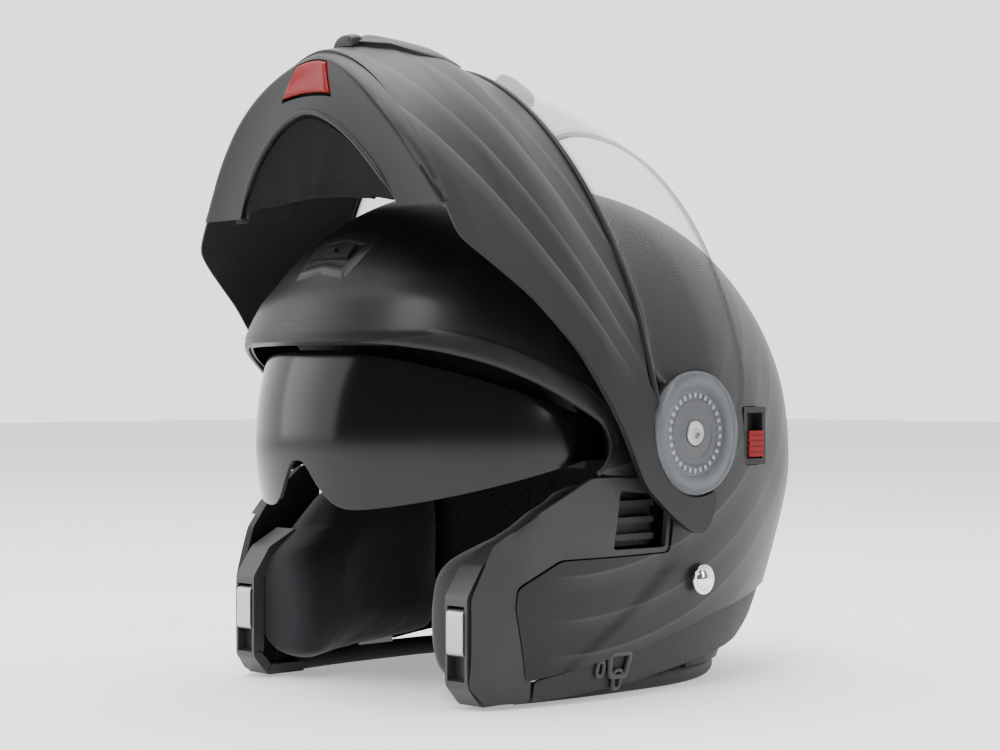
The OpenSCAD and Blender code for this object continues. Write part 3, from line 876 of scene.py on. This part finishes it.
def knob_form(across, along, depth):
    up = -90.5 + along * 4.4
    dome = np.clip(1 - across ** 4, 0, 1) ** 0.5 * np.clip(1 - along ** 4, 0, 1) ** 0.5
    return chin(chin_turn(across * 7.0), up, -np.where(depth > 0, -1.6, -1.2 + 4.8 * dome))


spots, cells = trimmed_grid(crowded(49), crowded(33), whole)
points, faces = walled(spots, cells, knob_form, 1.0)
knob = new_piece("chin_vent_knob", place(lift(points)), faces, smooth_deg=60)
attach(knob, "chin_vent_slider")
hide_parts("chin_vent_slider")
satin.on(knob)


# Face shield: one clear moulded screen, pulled up clear of the bar. It is clearest in its
# middle, with painted shade along its edges: two dark lines where its thick clear edge shows.
# It ends at each side in a frosted round boss over the hinge.
SHIELD_WALL = 2.3
BOSS_HOLE = 28.6
SHIELD_SIDE = rounded([(230, -20.5), (60, -20.5), (38, -24.5), (30, -18), (22, -4), (4, 20), (8, 34),
                       (25, 42), (50, 45), (78, 48), (104, 52), (130, 57), (144, 61), (230, 66)], 9)


def shield_keep(turn, up):
    flat = chin(turn, up, 0.0)
    kept = within(SHIELD_SIDE, flat[..., 1], up)
    return np.minimum(kept, np.where(np.abs(turn) > 1.2, from_pivot(flat) - BOSS_HOLE, 99))


def shield_form(turn, up, depth):
    return chin(turn, up, depth - 0.25)


spots, cells = trimmed_grid(chin_turns, np.linspace(-26, 68, 74), shield_keep)
points, faces = walled(spots, cells, shield_form, SHIELD_WALL)
shield = new_piece("face_shield_screen", place(lift(points)), faces)
shield_forward, shield_up = shut(*side_of(shield))
lay_map(shield, within(SHIELD_SIDE, shield_forward, shield_up) / 30, shield_up / 100)
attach(shield, "face_shield")
clear = Finish("clear_screen")
from_edge = clear.add("ShaderNodeSeparateXYZ", {}, [clear.add("ShaderNodeUVMap", {"uv_map": "paint"})])
haze = clear.noise(14.0, 2.0)
clear.surface(Base_Color=(0.045, 0.048, 0.052, 1), Roughness=0.05 + haze * 0.04, IOR=1.5)
# Painted shade: alpha rises along the edges, with a second dark line a little way in, for the look of the
# thick clear edge.
painted_edge_shade = [(0.0, 0.60), (0.05, 0.50), (0.07, 0.16), (0.12, 0.30), (0.14, 0.13), (1.0, 0.11)]
clear.surface(Alpha=clear.ramp(from_edge, painted_edge_shade))
clear.on(shield)
soften(shield, 0.9, 3)


RING_STEPS = 96


def boss_ring(radius_in, height_in):
    turn = np.linspace(0, 2 * math.pi, RING_STEPS, endpoint=False)
    return np.stack([np.full(RING_STEPS, height_in), SIDE_PIVOT[0] + radius_in * np.cos(turn),
                     SIDE_PIVOT[1] + radius_in * np.sin(turn)], -1)


def turned_rings(name, profile, side, raise_it=True):
    """A solid of revolution about the hinge line, from (radius, x) pairs run round its section."""
    rings = [boss_ring(radius_in, height_in) for radius_in, height_in in profile]
    faces = ring_faces(len(rings), RING_STEPS, closed=True)
    solid = np.concatenate(rings) * np.array([side, 1, 1])
    return new_piece(name, place(lift(solid) if raise_it else solid), faces, smooth_deg=32)


frosted = Finish("boss_frosted")
frost_noise = frosted.noise(30.0, 2.0)
side_map = frosted.add("ShaderNodeMapping", {"vector_type": "POINT"}, {
    "Vector": frosted.place_on((1, 1, 1)), "Location": (0.0, -hinge_y, -hinge_z), "Scale": (0, 1, 1)})
from_hub = frosted.add("ShaderNodeVectorMath", {"operation": "LENGTH"}, [side_map], output=1)
rings_of_frost = [(0.0, 0.07), (0.50, 0.10), (0.62, 0.20), (0.76, 0.44), (0.84, 0.26), (0.97, 0.5)]
frosted.surface(Base_Color=(0.20, 0.215, 0.23, 1), Roughness=0.12 + frost_noise * 0.08, IOR=1.45)
frosted.surface(Alpha=frosted.ramp(from_hub * 30.0, rings_of_frost))
for side, word in SIDES:
    profile = [(6.6, 125.7), (6.6, 126.6), (10, 127.2), (20, 127.9), (26, 128.1), (28.6, 127.8),
               (29.7, 127.0), (30.0, 126.0), (29.9, 124.3), (28.4, 124.2), (28.0, 125.4), (20, 125.7)]
    boss = turned_rings("shield_boss_" + word, profile, side)
    frosted.on(boss)
    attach(boss, "face_shield")
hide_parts("face_shield")


# Shield tab: the clear finger tab moulded on the screen's lower edge, left of the middle,
# which lifts the shield.
def fin_form(across, along, depth):
    x = 37 + across * (12.0 - 1.5 * along)
    height_in = np.array(along) * 5.6 * (1 - 0.25 * across ** 4)
    flat = chin(chin_turn(x), -16.5 + 0 * x, -0.3 - height_in)
    flat[..., 2] = -18.6 + 2.4 * along + depth * (1 - 0.45 * along)
    return flat


spots, cells = trimmed_grid(np.linspace(-1, 1, 33), np.linspace(0, 1, 13), whole)
points, faces = walled(spots, cells, fin_form, 3.0)
fin = new_piece("shield_finger_tab", place(lift(points)), faces, smooth_deg=50)
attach(fin, "face_shield")
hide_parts("shield_tab")
frosted_tab = Finish("tab_clear")
frosted_tab.surface(Base_Color=(0.30, 0.32, 0.34, 1), Roughness=0.12, IOR=1.45, Alpha=0.5)
frosted_tab.on(fin)
soften(fin, 0.6)


# Hinge works: a black dish round each hinge, the cast ratchet plate in it under the boss,
# with its ring of steel teeth, and the hub screw that clamps the arm to the shell.
steel = Finish("hinge_steel")
brush = steel.noise(400.0, 3.0, steel.place_on((1, 6, 1)))
steel.surface(Base_Color=(0.46, 0.46, 0.47, 1), Metallic=1.0, Roughness=0.26 + brush * 0.2)
steel.bumps(brush, 0.00003, 0.4)
cast = Finish("hinge_cast")
cast_noise = cast.noise(500.0, 3.0)
cast.surface(Base_Color=(0.09, 0.092, 0.096, 1), Metallic=0.7, Roughness=0.34 + cast_noise * 0.2)
cast.bumps(cast_noise, 0.00004, 0.5)


def node_group(name):
    """A geometry tree with an output, ready to be filled."""
    tree = bpy.data.node_groups.new(name, "GeometryNodeTree")
    tree.interface.new_socket(name="Geometry", in_out="OUTPUT", socket_type="NodeSocketGeometry")
    return tree


class Growth:
    """A Geometry Nodes tree that is built node by node, then turned into a mesh piece."""

    def __init__(self, name):
        self.name = name
        self.tree = node_group(name)
        self.out = self.tree.nodes.new("NodeGroupOutput")
        self.inp = self.tree.nodes.new("NodeGroupInput")
        self.values = {}

    def given(self, name, kind, value):
        socket = self.tree.interface.new_socket(name=name, in_out="INPUT", socket_type=kind)
        self.values[socket.identifier] = value
        return self.inp.outputs[name]

    def add(self, kind, settings=None, links=None, output=0):
        node = self.tree.nodes.new(kind)
        for key, value in (settings or {}).items():
            setattr(node, key, value)
        for key, value in (links or {}).items():
            if isinstance(value, bpy.types.NodeSocket):
                self.tree.links.new(value, node.inputs[key])
            else:
                node.inputs[key].default_value = value
        return node.outputs[output]

    def piece(self, instances, material):
        """Realised, given its material, and saved as an object with no modifier."""
        real = self.add("GeometryNodeRealizeInstances", {}, {0: instances})
        set_on = self.add("GeometryNodeSetMaterial", {}, {0: real, "Material": material})
        self.tree.links.new(set_on, self.out.inputs[0])
        holder = bpy.data.objects.new(self.name + "_tree", bpy.data.meshes.new(self.name))
        bpy.context.scene.collection.objects.link(holder)
        modifier = holder.modifiers.new("growth", "NODES")
        modifier.node_group = self.tree
        for identifier, value in self.values.items():
            modifier[identifier] = value
        bpy.context.view_layer.update()
        seen = holder.evaluated_get(bpy.context.evaluated_depsgraph_get())
        mesh = bpy.data.meshes.new_from_object(seen)
        bpy.data.objects.remove(holder)
        made = bpy.data.objects.new(self.name, mesh)
        bpy.context.scene.collection.objects.link(made)
        return made


for side, word in SIDES:
    profile = [(6.5, 124.2), (6.5, 125.1), (9, 125.2), (9.6, 124.9), (12.4, 124.9), (12.8, 125.2),
               (15.5, 125.2), (16, 124.7), (20.4, 124.7), (21, 124.5), (21, 124.2)]
    plate = turned_rings("ratchet_plate_" + word, profile, side)
    cast.on(plate)
    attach(plate, "chin_bar")
    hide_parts("gear_plate_" + word)

    dish_profile = [(6.4, 121.8), (6.4, 123.4), (29.4, 123.5), (30.3, 124.1), (30.5, 124.7), (31.3, 124.7),
                    (31.3, 121.8)]
    dish = turned_rings("hinge_dish_" + word, dish_profile, side)
    satin.on(dish)
    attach(dish, "chin_bar")

    teeth = Growth("ratchet_teeth_" + word)
    number = teeth.given("Teeth", "NodeSocketInt", 30)
    radius_socket = teeth.given("Radius", "NodeSocketFloat", 0.0182)
    tooth = teeth.add("GeometryNodeMeshCube", {}, {"Size": (0.0022, 0.0017, 0.0011), "Vertices X": 3,
                                                    "Vertices Y": 3, "Vertices Z": 3})
    ring = teeth.add("GeometryNodeMeshCircle", {}, {"Vertices": number, "Radius": radius_socket})
    spin = teeth.add("FunctionNodeAlignEulerToVector", {"axis": "X"},
                     {"Vector": teeth.add("GeometryNodeInputPosition")})
    placed = teeth.add("GeometryNodeInstanceOnPoints", {},
                       {"Points": ring, "Instance": tooth, "Rotation": spin})
    moved = teeth.add("GeometryNodeTransform", {}, {
        "Geometry": placed, "Translation": (side * 0.12485, hinge_y, hinge_z),
        "Rotation": (0.0, math.pi / 2, 0.0)})
    teeth_piece = teeth.piece(moved, steel.material)
    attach(teeth_piece, "chin_bar")

    screw_profile = [(0.02, 124.6), (2.4, 124.6), (2.8, 125.0), (2.8, 125.9), (3.2, 126.0), (5.4, 126.0),
                     (6.0, 125.6), (6.0, 112), (0.02, 112)]
    hub = turned_rings("hub_screw_" + word, screw_profile, side, raise_it=False)
    steel.on(hub)
    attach(hub, "helmet_shell")
    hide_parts("pivot_hub_" + word)


# Sun visor: a dark smoked screen with a notch for the nose. It turns on two pins inside
# the shell, and slides up behind the brow.
VISOR_PIVOT = (15.0, -3.0)
VISOR_HALF_W = 99.0
VISOR_WALL = 2.2


def visor_form(lean, share, depth):
    x = np.sin(lean) * (VISOR_HALF_W - 1)
    reach = 133.5 * fade(np.abs(x) / VISOR_HALF_W, 2.2)
    ear = np.degrees(np.arcsin(np.clip(9 / reach, 0, 1)))
    low = np.minimum(-14.4 + 11.0 * np.exp(-(x / 15) ** 2), -ear)
    high = np.maximum(19.2, ear)
    angle = np.radians(low + (high - low) * share)
    reach = reach - depth
    return np.stack([x * (1 - depth / VISOR_HALF_W), VISOR_PIVOT[0] + reach * np.cos(angle),
                     VISOR_PIVOT[1] + reach * np.sin(angle)], -1)


def visor_keep(lean, share):
    flat = visor_form(lean, share, 0.0)
    lens_side = rounded([(250, -90), (250, 90), (50, 90), (34, 36), (38, -34), (52, -60)], 12)
    return within(lens_side, flat[..., 1], flat[..., 2])


lean_at = np.linspace(-math.pi / 2 * 0.985, math.pi / 2 * 0.985, 181)
spots, cells = trimmed_grid(lean_at, np.linspace(0, 1, 41), visor_keep)
points, faces = walled(spots, cells, visor_form, VISOR_WALL)
visor = new_piece("sun_visor_lens", place(points), faces, smooth_deg=40)
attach(visor, "sun_visor")
smoke = Finish("smoke_lens")
smoke_haze = smoke.noise(20.0, 2.0)
smoke.surface(Base_Color=(0.003, 0.003, 0.0035, 1), Roughness=0.13 + smoke_haze * 0.06, IOR=1.42,
              Alpha=0.97)
smoke.on(visor)
soften(visor, 0.6)
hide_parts("sun_visor")


# Chin curtain: black cloth stretched under the chin, between the base band and its own
# free edge, which is bound with two runs of piping.
CURTAIN_WIDTH = 46.0


def curtain_form(turn, inward, depth):
    flat = chin(turn, np.full(np.shape(turn), -118.0), 31.5 + inward)
    sag = 2.2 * np.sin(np.clip(inward / CURTAIN_WIDTH, 0, 1) * math.pi)
    ripple = 0.22 * np.sin(turn * 19 + inward * 0.12) * np.clip(inward / 20, 0, 1)
    flat[..., 2] = base_drop(flat[..., 1]) + 1.0 + sag + ripple + depth
    return flat


def curtain_keep(turn, inward):
    flat = curtain_form(turn, inward, 0.0)
    lip_line = 125.0 + 6.0 * (1 - np.clip(np.abs(flat[..., 0]) / 60, 0, 1) ** 2)
    return np.minimum(flat[..., 1] - lip_line, np.minimum(inward, CURTAIN_WIDTH - inward) + 0.01)


spots, cells = trimmed_grid(np.linspace(-0.92, 0.92, 150), np.linspace(0, CURTAIN_WIDTH, 42), curtain_keep)
points, faces = walled(spots, cells, curtain_form, 1.0)
curtain = new_piece("chin_curtain_cloth", place(lift(points)), faces, smooth_deg=60)
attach(curtain, "chin_bar")
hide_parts("chin_curtain")
cloth_finish = Finish("curtain_weave")
threads = cloth_finish.noise(700.0, 2.0, cloth_finish.place_on((1, 3, 1)))
cross = cloth_finish.noise(700.0, 2.0, cloth_finish.place_on((3, 1, 1)))
cloth_finish.surface(Base_Color=cloth_finish.mix(cloth_finish.noise(60.0), (0.0025, 0.0025, 0.003, 1),
                                                 (0.006, 0.006, 0.007, 1)),
                     Roughness=0.9, Specular_IOR_Level=0.2)
cloth_finish.bumps(threads + cross, 0.0002, 0.6)
cloth_finish.on(curtain)

hem_turn = np.linspace(-0.56, 0.56, 140)
free_edge = []
for turn_at in hem_turn:
    ins = np.linspace(0, CURTAIN_WIDTH, 200)
    ok = curtain_keep(np.full(200, turn_at), ins) >= 0
    if ok.any():
        free_edge.append(curtain_form(np.array([turn_at]), np.array([ins[ok].max()]), 0.4)[0])
free_edge = np.array(free_edge)
for step, drop in enumerate((0.0, 4.5)):
    shifted = free_edge + np.array([0, drop, 0.4])
    piping = bead("curtain_piping_%d" % step, shifted, -1.0, oval(1.3, 1.3))
    cloth_finish.on(piping)
    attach(piping, "chin_bar")
top_side = curtain_form(spots[:, 0], spots[:, 1], 0.0)
area_mm2 = 0.0
for cell in cells:
    ring_at = top_side[cell]
    for k in range(1, len(cell) - 1):
        area_mm2 += 0.5 * np.linalg.norm(np.cross(ring_at[k] - ring_at[0], ring_at[k + 1] - ring_at[0]))


# Jaw ends: the gloss black strip down the front edge of each jaw, bent back at top and
# bottom, with a brushed steel striker plate set into it and an empty latch slot below.
def blob(rings):
    """A closed skin over a list of rings that have the same number of points."""
    rings = np.array(rings)
    return rings.reshape(-1, 3), ring_faces(*rings.shape[:2])


def flat_strip(line, x0, x1, thick):
    """A bar with a rectangular section that follows a side-view line, from x0 to x1."""
    line = smooth_corner(line)
    step = np.gradient(line, axis=0)
    step /= np.linalg.norm(step, axis=1)[:, None]
    inward = np.stack([step[:, 1], -step[:, 0]], -1) * thick
    rings = []
    for at, into in zip(line, inward):
        rings.append([(x0, *at), (x1, *at), (x1, *(at + into)), (x0, *(at + into))])
    return blob(rings)


def smooth_corner(line):
    """An open line with its inner corners rounded a little."""
    line = [np.array(p, float) for p in line]
    out = [line[0]]
    for before, corner, after in zip(line, line[1:], line[2:]):
        start = corner + (before - corner) / np.linalg.norm(before - corner) * 1.6
        end = corner + (after - corner) / np.linalg.norm(after - corner) * 1.6
        for t in (0, 0.33, 0.67, 1):
            out.append((1 - t) ** 2 * start + 2 * t * (1 - t) * corner + t ** 2 * end)
    return np.array(out + [line[-1]])


jaw_gloss = Finish("jaw_end_black")
jaw_gloss_noise = jaw_gloss.noise(1200.0, 2.0)
jaw_gloss.surface(Base_Color=(0.028, 0.028, 0.030, 1), Roughness=0.36 + jaw_gloss_noise * 0.2)
jaw_gloss.bumps(jaw_gloss_noise, 0.00006, 0.6)
strips = [([(92, -50.5), (108.5, -59), (118.6, -73.5), (118.6, -77.6)], 72.0, 86.8, 6.5),
          ([(118.6, -77.6), (118.6, -112.4)], 85.2, 86.8, 6.5),
          ([(118.6, -77.6), (118.6, -112.4)], 72.0, 73.6, 6.5),
          ([(118.6, -112.4), (118.2, -115), (109.5, -124.6), (86, -124.6)], 72.0, 86.8, 5.0),
          ([(113.4, -77.0), (113.4, -113.0)], 73.4, 85.4, 1.8)]
for side, word in SIDES:
    points_all, faces_all = [], []
    for line, x0, x1, thick in strips:
        points, faces = flat_strip(line, x0, x1, thick)
        base_count = sum(len(block) for block in points_all)
        points_all.append(points * np.array([side, 1, 1]))
        faces_all += [[i + base_count for i in face] for face in faces]
    jaw_end = new_piece("jaw_end_" + word, place(np.concatenate(points_all)), faces_all, merge=0.0)
    jaw_gloss.on(jaw_end)
    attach(jaw_end, "helmet_shell")
    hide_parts("jaw_front_" + word)
    soften(jaw_end, 0.45)

    points, faces = flat_strip([(117.4, -79.0), (119.6, -80.2), (119.6, -100.0), (117.4, -101.0)],
                               74.0, 84.9, 2.4)
    striker = new_piece("striker_" + word, place(points * np.array([side, 1, 1])), faces)
    steel.on(striker)
    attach(striker, "helmet_shell")
    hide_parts("striker_plate_" + word)
    soften(striker, 0.3)


# Cheek pads: thick foam pads in brushed dark fabric inside each jaw, swelled by a short
# cloth simulation from a rounded block that follows the shell's inner face.
def stuffed(piece, voxel_mm, push, cap_mm):
    """Swells a piece from inside for a few frames, keeping every point within cap_mm of where it was."""
    bpy.context.view_layer.objects.active = piece
    remesh = piece.modifiers.new("even", "REMESH")
    remesh.mode = "VOXEL"
    remesh.voxel_size = voxel_mm / 1000
    bpy.context.view_layer.update()
    seen = piece.evaluated_get(bpy.context.evaluated_depsgraph_get())
    piece.modifiers.clear()
    piece.data = bpy.data.meshes.new_from_object(seen)
    cloth = piece.modifiers.new("swell", "CLOTH")
    cloth.settings.quality = 6
    cloth.settings.mass = 0.2
    cloth.settings.tension_stiffness = 12
    cloth.settings.compression_stiffness = 6
    cloth.settings.bending_stiffness = 0.4
    cloth.settings.use_pressure = True
    cloth.settings.uniform_pressure_force = push
    cloth.settings.effector_weights.gravity = 0
    cloth.point_cache.frame_start = 1
    cloth.point_cache.frame_end = 20
    before = np.empty(len(piece.data.vertices) * 3)
    piece.data.vertices.foreach_get("co", before)
    for frame_at in range(1, 21):
        bpy.context.scene.frame_set(frame_at)
    seen = piece.evaluated_get(bpy.context.evaluated_depsgraph_get())
    after = np.empty_like(before)
    seen.data.vertices.foreach_get("co", after)
    piece.modifiers.clear()
    bpy.context.scene.frame_set(1)
    moved_by = (after - before).reshape(-1, 3)
    length = np.maximum(np.linalg.norm(moved_by, axis=1), 1e-9)
    moved_by *= np.minimum(1, cap_mm / 1000 / length)[:, None]
    piece.data.vertices.foreach_set("co", (before.reshape(-1, 3) + moved_by).ravel())
    subdivide = piece.modifiers.new("smooth", "SUBSURF")
    subdivide.levels = 1
    subdivide.render_levels = 1
    piece.data.shade_smooth()


def pad_ring(along):
    """One upright ring of the cheek pad at a forward place from its back, 0, to its front, 1."""
    forward = -20 + 131.0 * along
    swell = np.clip(1 - np.abs(2 * along - 1) ** 9, 0.02, 1) ** 0.5
    low = -117.5 + 7 * (1 - along) ** 2
    top = -23 - 33 * ease(0.45, 0.98, along)
    middle, half_h = (low + top) / 2, (top - low) / 2 * (0.35 + 0.65 * swell)
    ring = []
    for t in np.linspace(0, 2 * math.pi, 40, endpoint=False):
        up = middle + half_h * power(np.sin(t), 0.75)
        outer = min(skin_side(np.array(forward), np.array(up), 14.0), 98.5)
        thick = (26 + 22 * along ** 1.5) * swell
        ring.append((outer - thick / 2 + thick / 2 * power(np.cos(t), 0.7), forward, up))
    return ring


brushed = Finish("lining_brushed")
nap = brushed.noise(900.0, 3.0)
sweep = brushed.noise(45.0, 2.0)
brushed.surface(Base_Color=brushed.mix(sweep, (0.0045, 0.0048, 0.0065, 1), (0.010, 0.0105, 0.014, 1)),
                Roughness=0.88, Sheen_Weight=0.22, Sheen_Roughness=0.4)
brushed.bumps(nap, 0.0004, 0.5)
for side, word in SIDES:
    points, faces = blob([pad_ring(a) for a in crowded(34) * 0.5 + 0.5])
    pad = new_piece("cheek_pad_" + word + "_stuffed", place(points * np.array([side, 1, 1])), faces)
    stuffed(pad, 4.5, 4.0, 3.0)
    brushed.on(pad)
    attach(pad, "helmet_shell")
    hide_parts("cheek_pad_" + word)


# Strap rivets: a domed chromed rivet on each side, through the shell, that holds one end
# of the chin strap.
chrome = Finish("rivet_chrome")
chrome_noise = chrome.noise(300.0, 2.0)
chrome.surface(Base_Color=(0.80, 0.81, 0.82, 1), Metallic=1.0, Roughness=0.08 + chrome_noise * 0.06)
rivet_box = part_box("strap_rivets")
rivet_at = ((rivet_box[0][1] + rivet_box[1][1]) / 2, (rivet_box[0][2] + rivet_box[1][2]) / 2)
rivet_profile = [(0.0001, 1.9), (0.0012, 1.86), (0.0024, 1.7), (0.0038, 1.3), (0.0050, 0.7), (0.0056, 0.2),
                 (0.0058, -0.3), (0.0072, -0.4), (0.0075, -0.8), (0.0075, -1.6), (0.0001, -1.6)]
for side, word in SIDES:
    rings = []
    for radius_at, out_mm in rivet_profile:
        t = np.linspace(0, 2 * math.pi, 48, endpoint=False)
        rings.append(np.stack([np.full(48, side * (rivet_box[1][0] + 0.0004 + out_mm / 1000)),
                               rivet_at[0] + radius_at * np.cos(t), rivet_at[1] + radius_at * np.sin(t)], -1))
    points, faces = blob(rings)
    rivet = new_piece("strap_rivet_" + word, points, faces, smooth_deg=40)
    chrome.on(rivet)
    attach(rivet, "helmet_shell")
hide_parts("strap_rivets")


# Inner pieces: the foam, guides, hooks, pins, straps and crown pad, which are plain in
# themselves, keep their CAD meshes and take a finish each.
nodes = frame["nodes"]
skirt.on(nodes["visor_slider_frame"], nodes["arm_guide_left"], nodes["arm_guide_right"])
grainy.on(nodes["hook_housing_left"], nodes["hook_housing_right"], nodes["rear_vent"], nodes["strap_buckle"])
steel.on(nodes["latch_hook_left"], nodes["latch_hook_right"], nodes["visor_pin_left"],
         nodes["visor_pin_right"], nodes["strap_tongue"])
satin.on(nodes["forehead_vent_slider"])
for name in ("forehead_vent_slider", "rear_vent", "strap_buckle", "strap_tongue", "visor_slider",
             "visor_slider_frame", "hook_housing_left", "hook_housing_right"):
    soften(nodes[name], 0.4)
brushed.on(nodes["crown_pad"], nodes["neck_roll"])
cloth_finish.on(nodes["chin_strap_left"], nodes["chin_strap_right"])
foam_finish = Finish("foam_charcoal")
beads = foam_finish.add("ShaderNodeTexVoronoi", {},
                        {"Vector": foam_finish.place_on((1, 1, 1)), "Scale": 260.0})
foam_finish.surface(Base_Color=foam_finish.mix(beads, (0.010, 0.010, 0.011, 1), (0.024, 0.024, 0.026, 1)),
                    Roughness=0.8)
foam_finish.bumps(beads, 0.0004, 0.6)
foam_finish.on(nodes["foam_liner"], nodes["chin_bar_liner"])


# Forehead vent: a thin black plate let into the forehead, with a low raised rim round
# the opening that its slider runs across.
def vent_line(x, up):
    """Distance inside the vent's plate, seen from the front."""
    slope = np.abs(x) * 0.16
    return np.minimum(np.minimum(23.0 - (99 - up) * 0.20 - np.abs(x), 99.5 - slope - up), up + slope - 77.5)


def vent_spot(x, up, depth):
    size_at = np.clip((up - WIDEST) / (CROWN - depth - WIDEST), 0, 1)
    half = (HALF_WIDTH - depth) * fade(size_at, SIDE_ROUND)
    reach = (FRONT - depth) * fade(size_at, FRONT_ROUND)
    forward = reach * fade(np.abs(x) / half, PLAN_ROUND)
    return np.stack([x, forward, up + 0 * x], -1)


def vent_form(x, up, depth):
    inside = vent_line(x, up)
    rim = ease(0, 1.6, inside) * 0.9 + 0.45 * ease(1.8, 3.2, inside) * ease(6.0, 4.4, inside)
    return vent_spot(x, up, -rim if depth == 0 else 2.5)


spots, cells = trimmed_grid(np.linspace(-24, 24, 97), np.linspace(72, 100, 61), vent_line)
points, faces = walled(spots, cells, vent_form, 1.0)
vent_plate = new_piece("forehead_vent_plate", place(points), faces, smooth_deg=60)
rubber.on(vent_plate)
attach(vent_plate, "helmet_shell")
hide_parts("forehead_vent_base")


# Strap hook: the small hook and its two rings on the hem, bent from wire, where the loose
# end of the chin strap is parked.
def loop_wire(name, corners, radius_mm):
    """A closed loop of round wire that lies on the skin."""
    line = rounded(corners, 2.6)
    x = skin_side(line[:, 0], line[:, 1], 1.0)
    path_at = place(np.stack([x, line[:, 0], line[:, 1]], -1))
    out_at = np.tile([1.0, 0.0, 0.0], (len(path_at), 1))
    return swept(name, path_at, out_at, oval(radius_mm, radius_mm, 10), closed=True)


hook_loops = [([(30, -104), (44, -104), (42, -115), (32, -115)], 1.5),
              ([(34, -112), (40, -112), (39, -121), (35, -121)], 1.1),
              ([(47, -107), (51, -107), (51, -114), (47, -114)], 1.1)]
for k, (corners, radius_mm) in enumerate(hook_loops):
    wire = loop_wire("strap_hook_%d" % k, corners, radius_mm)
    jaw_gloss.on(wire)
    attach(wire, "helmet_shell")


# Floor: a plain pale surface under the helmet, lit a little by itself, which isn't part
# of the helmet.
floor_mesh = bpy.data.meshes.new("floor")
floor_corners = [(x, y, -0.0001) for x, y in ((-6, -6), (6, -6), (6, 6), (-6, 6))]
floor_mesh.from_pydata(floor_corners, [], [[0, 1, 2, 3]])
floor = bpy.data.objects.new("floor", floor_mesh)
bpy.context.scene.collection.objects.link(floor)
pale = Finish("floor_pale")
pale.surface(Base_Color=(0.86, 0.86, 0.86, 1), Roughness=0.8, Emission_Color=(1, 1, 1, 1),
             Emission_Strength=0.45)
pale.on(floor)
